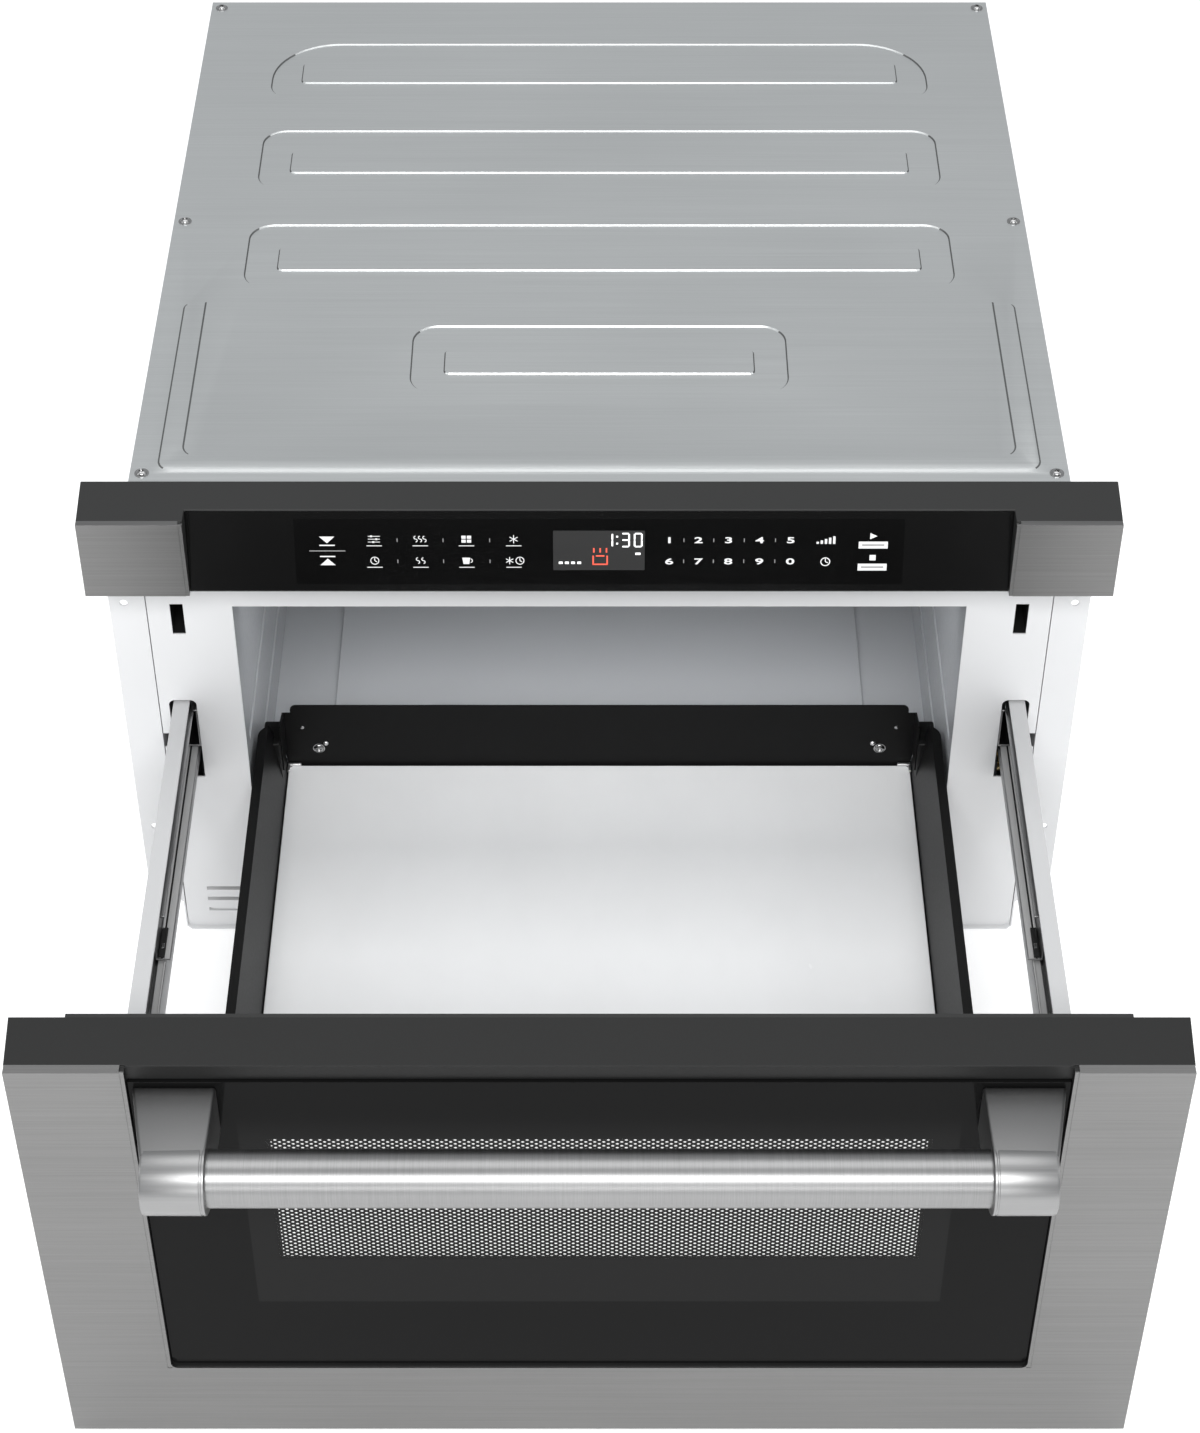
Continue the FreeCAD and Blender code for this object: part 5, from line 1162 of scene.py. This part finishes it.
reading = Marks("display_reading", lit_white, 0.09)
segment_digit(reading, "1", 3.4)
reading.bar(10.4, 36.0, 1.1, 1.1)
reading.bar(10.4, 31.4, 1.1, 1.1)
segment_digit(reading, "3", 13.2)
segment_digit(reading, "0", 20.6)
for k in range(4):
    reading.bar(-22.6 + 3.6 * k, 18.6, 2.2, 1.5)
reading.bar(22.6, 24.6, 3.0, 1.4)
reading.done()
sign = Marks("display_sign", lit_red, 0.09)
sign.bar(0.5, 17.6, 9.0, 0.9)
sign.bar(-3.6, 20.4, 0.9, 6.0)
sign.bar(4.6, 20.4, 0.9, 6.0)
sign.bar(0.5, 23.2, 5.0, 0.9)
for x in (-3.2, 0.5, 4.2):
    sign.stroke(x, 25.4, x, 28.4, 0.9)
sign.done()
print("display lit")

# %% [markdown]
# ## Small true details
# Each slot of the front frame has a louvre blade curling inwards behind it, where the press
# tool pushed the sheet in. A grid of points on a quarter turn gives the curl, and it swells
# from both ends as the stretched metal does.

# %% Louvre blades
def louvre_blade(name, x0, x1, low, height, depth):
    """A curved blade behind a slot: from the lower edge inwards, just short of the top."""
    work = bmesh.new()
    rings = []
    across, up = 14, 8
    for k in range(across + 1):
        x = x0 + (x1 - x0) * k / across
        swell = math.sqrt(min(1.0, 0.02 + 6.0 * min(k, across - k) / across))
        ring = []
        for n in range(up + 1):
            turn = math.radians(95) * n / up
            ring.append(work.verts.new((x, depth * swell * math.sin(turn),
                                        low + height * 0.78 * n / up)))
        rings.append(ring)
    for first, second in zip(rings, rings[1:]):
        for n in range(up):
            work.faces.new((first[n], second[n], second[n + 1], first[n + 1]))
    # The blade gets the darker copy of the white coat: painted shade below each slot.
    finish_piece(piece_from(work, name), "cabinet", white_coat_painted_shade)


for k in range(3):
    low = (15.4 + 10.0 * k) * MM
    louvre_blade("louvre_blade_%d" % k, -0.2605, -0.1985, low, 3.2 * MM, 5.0 * MM)
print("louvre blades placed")

# %% [markdown]
# At the rear corners of the pan sit a spring clip that holds the tray, a small lock pin and a
# rivet, and a gusset that closes the corner. They are tiny, but they catch the light.

# %% Fittings of the pan's rear corners
PIN = [(0, -0.0004), (0.0016, -0.0004), (0.0017, 0.0006), (0.0012, 0.0013), (0.0006, 0.0016),
       (0, 0.0016)]
RIVET = [(0, -0.0002), (0.0016, -0.0002), (0.0015, 0.0002), (0.0010, 0.0004), (0, 0.0004)]

for side, label in SIDES:
    spring = side_cuboid("tray_clip_" + label, side, (0.1990, 0.2080), (0.0650, 0.0672),
                         (0.0862, 0.0884), 0.6 * MM)
    hook = side_cuboid("tray_clip_hook_" + label, side, (0.2062, 0.2080), (0.0590, 0.0652),
                       (0.0862, 0.0882), 0.6 * MM)
    pin = turned("lock_pin_" + label, PIN, (side * 0.1816, PAN_REAR_Y, 0.1056), (0, -1, 0), 24)
    for fitting in (spring, hook, pin):
        finish_piece(fitting, "drawer", bare_aluminium)
    rivet = turned("wall_rivet_" + label, RIVET, (side * 0.1966, PAN_REAR_Y, 0.120),
                   (0, -1, 0), 24)
    finish_piece(rivet, "drawer", screw_steel)
    gusset = side_cuboid("corner_gusset_" + label, side, (0.2090, 0.2205), (0.0440, 0.0670),
                         (0.0860, 0.1268), 1.5 * MM)
    finish_piece(gusset, "drawer", black_coat)
print("corner fittings placed")

# %% [markdown]
# A drawn slide channel isn't flat inside: rolled ridges guide the balls. Thin strips along the
# track and the ridges get a pale zinc that is not metal, which is painted light, and a thin black
# strip in the groove is painted shade. Seen from above these read as fine light and dark lines.
# Each row of the table is one strip: its body, inner and outer x, low and high z, where it
# starts and stops.

# %% Ridges, tracks and stop levers of the slides
STRIPS = [
    # Pale zinc strips are painted light; the black groove strip is painted shade.
    ("track_painted_light", "drawer", 0.2578, 0.2622, 0.15915, 0.15925, -0.3505, 0.0745, zinc_painted_light),
    ("track_lip", "drawer", 0.2577, 0.2588, 0.15915, 0.16000, -0.3505, 0.0745, zinc_painted_light),
    ("race_ridge", "middle", 0.2603, 0.2616, 0.16255, 0.16340, -0.1765, 0.2075, zinc_painted_light),
    ("groove_painted_shade", "middle", 0.2592, 0.2603, 0.16255, 0.16280, -0.1765, 0.2075, black_plastic),
    ("race_floor", "middle", 0.2552, 0.2592, 0.16255, 0.16268, -0.1765, 0.2075, zinc_painted_light),
    ("stop_lever", "middle", 0.2580, 0.2618, 0.16300, 0.16440, -0.1765, -0.1530, black_plastic),
    ("stop_pin", "middle", 0.2588, 0.2606, 0.16400, 0.16470, -0.1700, -0.1660, screw_steel),
]
for side, label in SIDES:
    for what, carrier, inner, outer, low, high, start, stop, material in STRIPS:
        strip = side_cuboid("%s_%s" % (what, label), side, (inner, outer), (start, stop),
                            (low, high), min(0.4 * MM, (high - low) * 0.4))
        finish_piece(strip, "drawer" if carrier == "drawer" else "middle_rail_" + label,
                     material)
print("slide strips placed:", 2 * len(STRIPS))

# %% [markdown]
# Steel balls run between the channels, held apart by a thin black cage. Cages and balls ride
# on the middle rail, which moves half as far as the drawer. Whole spheres are the simplest
# true form, and one row of them is one piece.

# %% Balls and cages
BALL_X, BALL_RADIUS = 0.2605, 1.05 * MM
FIRST_BALL_Y, BALL_PITCH, BALLS = -0.170, 11 * MM, 14


def ball_row(name, x, z, body):
    work = bmesh.new()
    for k in range(BALLS):
        made = bmesh.ops.create_uvsphere(work, u_segments=14, v_segments=8, radius=BALL_RADIUS)
        bmesh.ops.translate(work, verts=made["verts"], vec=(x, FIRST_BALL_Y + k * BALL_PITCH, z))
    finish_piece(piece_from(work, name), body, screw_steel, ROUND_ANGLE)


RUNS = (("low", 0.1603), ("high", 0.2007))  # height of each row of balls
for side, name in SIDES:
    body = "middle_rail_" + name
    for level, z in RUNS:
        ball_row("balls_%s_%s" % (name, level), side * BALL_X, z, body)
    for level, z in RUNS:
        cage = side_cuboid("ball_cage_%s_%s" % (name, level), side,
                           (BALL_X - 1.6 * MM, BALL_X + 1.6 * MM), (-0.1755, -0.0200),
                           (z - 0.3 * MM, z + 0.3 * MM), 0.2 * MM)
        finish_piece(cage, body, black_plastic)
print("balls and cages placed")

# %% [markdown]
# A flat sheet drums and buckles, so the sides and the back of such a case carry a pressed
# ridge. It is drawn as a low rounded profile carried round a rectangle with wide corners.
# Screws along the lower edge hold the sides to the base tray.

# %% Stiffening ridges and lower screws
SIDE_X = 0.2770
RIDGE = [(-3.4, -0.1), (-2.4, 0.25), (-1.4, 0.75), (-0.5, 0.98), (0.5, 0.98), (1.4, 0.75),
         (2.4, 0.25), (3.4, -0.1)]  # across the ridge and up, in millimetres


def pressed_ridge(name, low, high, corner, place, material):
    """A ridge round a rectangle of (across, up) numbers; place(a, b, lift) gives the point."""
    work = bmesh.new()
    rings = [[work.verts.new(place(a + (corner + r * MM) * c, b + (corner + r * MM) * s, h * MM))
              for r, h in RIDGE] for a, b, c, s in corner_arcs(low, high, corner, 10)]
    for first, second in zip(rings, rings[1:] + rings[:1]):
        for n in range(len(RIDGE) - 1):
            work.faces.new((first[n], second[n], second[n + 1], first[n + 1]))
    bmesh.ops.recalc_face_normals(work, faces=work.faces)
    finish_piece(piece_from(work, name), "cabinet", material, ROUND_ANGLE)


for side, label in SIDES:
    pressed_ridge("side_ridge_" + label, (0.060, 0.055), (0.490, 0.325), 0.030,
                  lambda a, b, lift: (side * (SIDE_X + lift), a, b), white_coat)
    for k, y in enumerate((0.060, 0.275, 0.490)):
        set_screw("base_screw_%s_%d" % (label, k), case_head, (side * SIDE_X, y, 0.0100),
                  (side, 0, 0), "cabinet", random.random())
pressed_ridge("rear_ridge", (-0.235, 0.195), (0.175, 0.335), 0.025,
              lambda a, b, lift: (a, REAR_Y + lift, b), galvanised_rear)
print("ridges and lower screws placed")

# %% [markdown]
# ## Floor
# A pale sheet under the object catches its shadow and lights it from below.

# %% Pale floor
FLOOR_Z = -0.6 * MM
floor_paint = Paint("pale_floor", Emission_Strength=0.3)
floor_grain = floor_paint.noise(60.0, 3.0)
floor_paint.set("Base Color", floor_paint.mix(floor_grain, grey(0.90), grey(0.93)))
floor_paint.set("Emission Color", floor_paint.mix(floor_grain, grey(0.95), grey(1.0)))
floor_paint.set("Roughness", floor_grain * 0.1 + 0.7)
floor_mesh = bpy.data.meshes.new("floor")
floor_corners = ((-6, -6), (6, -6), (6, 6), (-6, 6))
floor_mesh.from_pydata([(x, y, FLOOR_Z) for x, y in floor_corners], [], [(0, 1, 2, 3)])
floor_mesh.materials.append(floor_paint.material)
link_mesh("floor", floor_mesh)
print("floor laid at %.1f mm" % (FLOOR_Z / MM))

# %% [markdown]
# ## The last update
# The view layer is brought up to date once more.

# %% Update the view layer
bpy.context.view_layer.update()
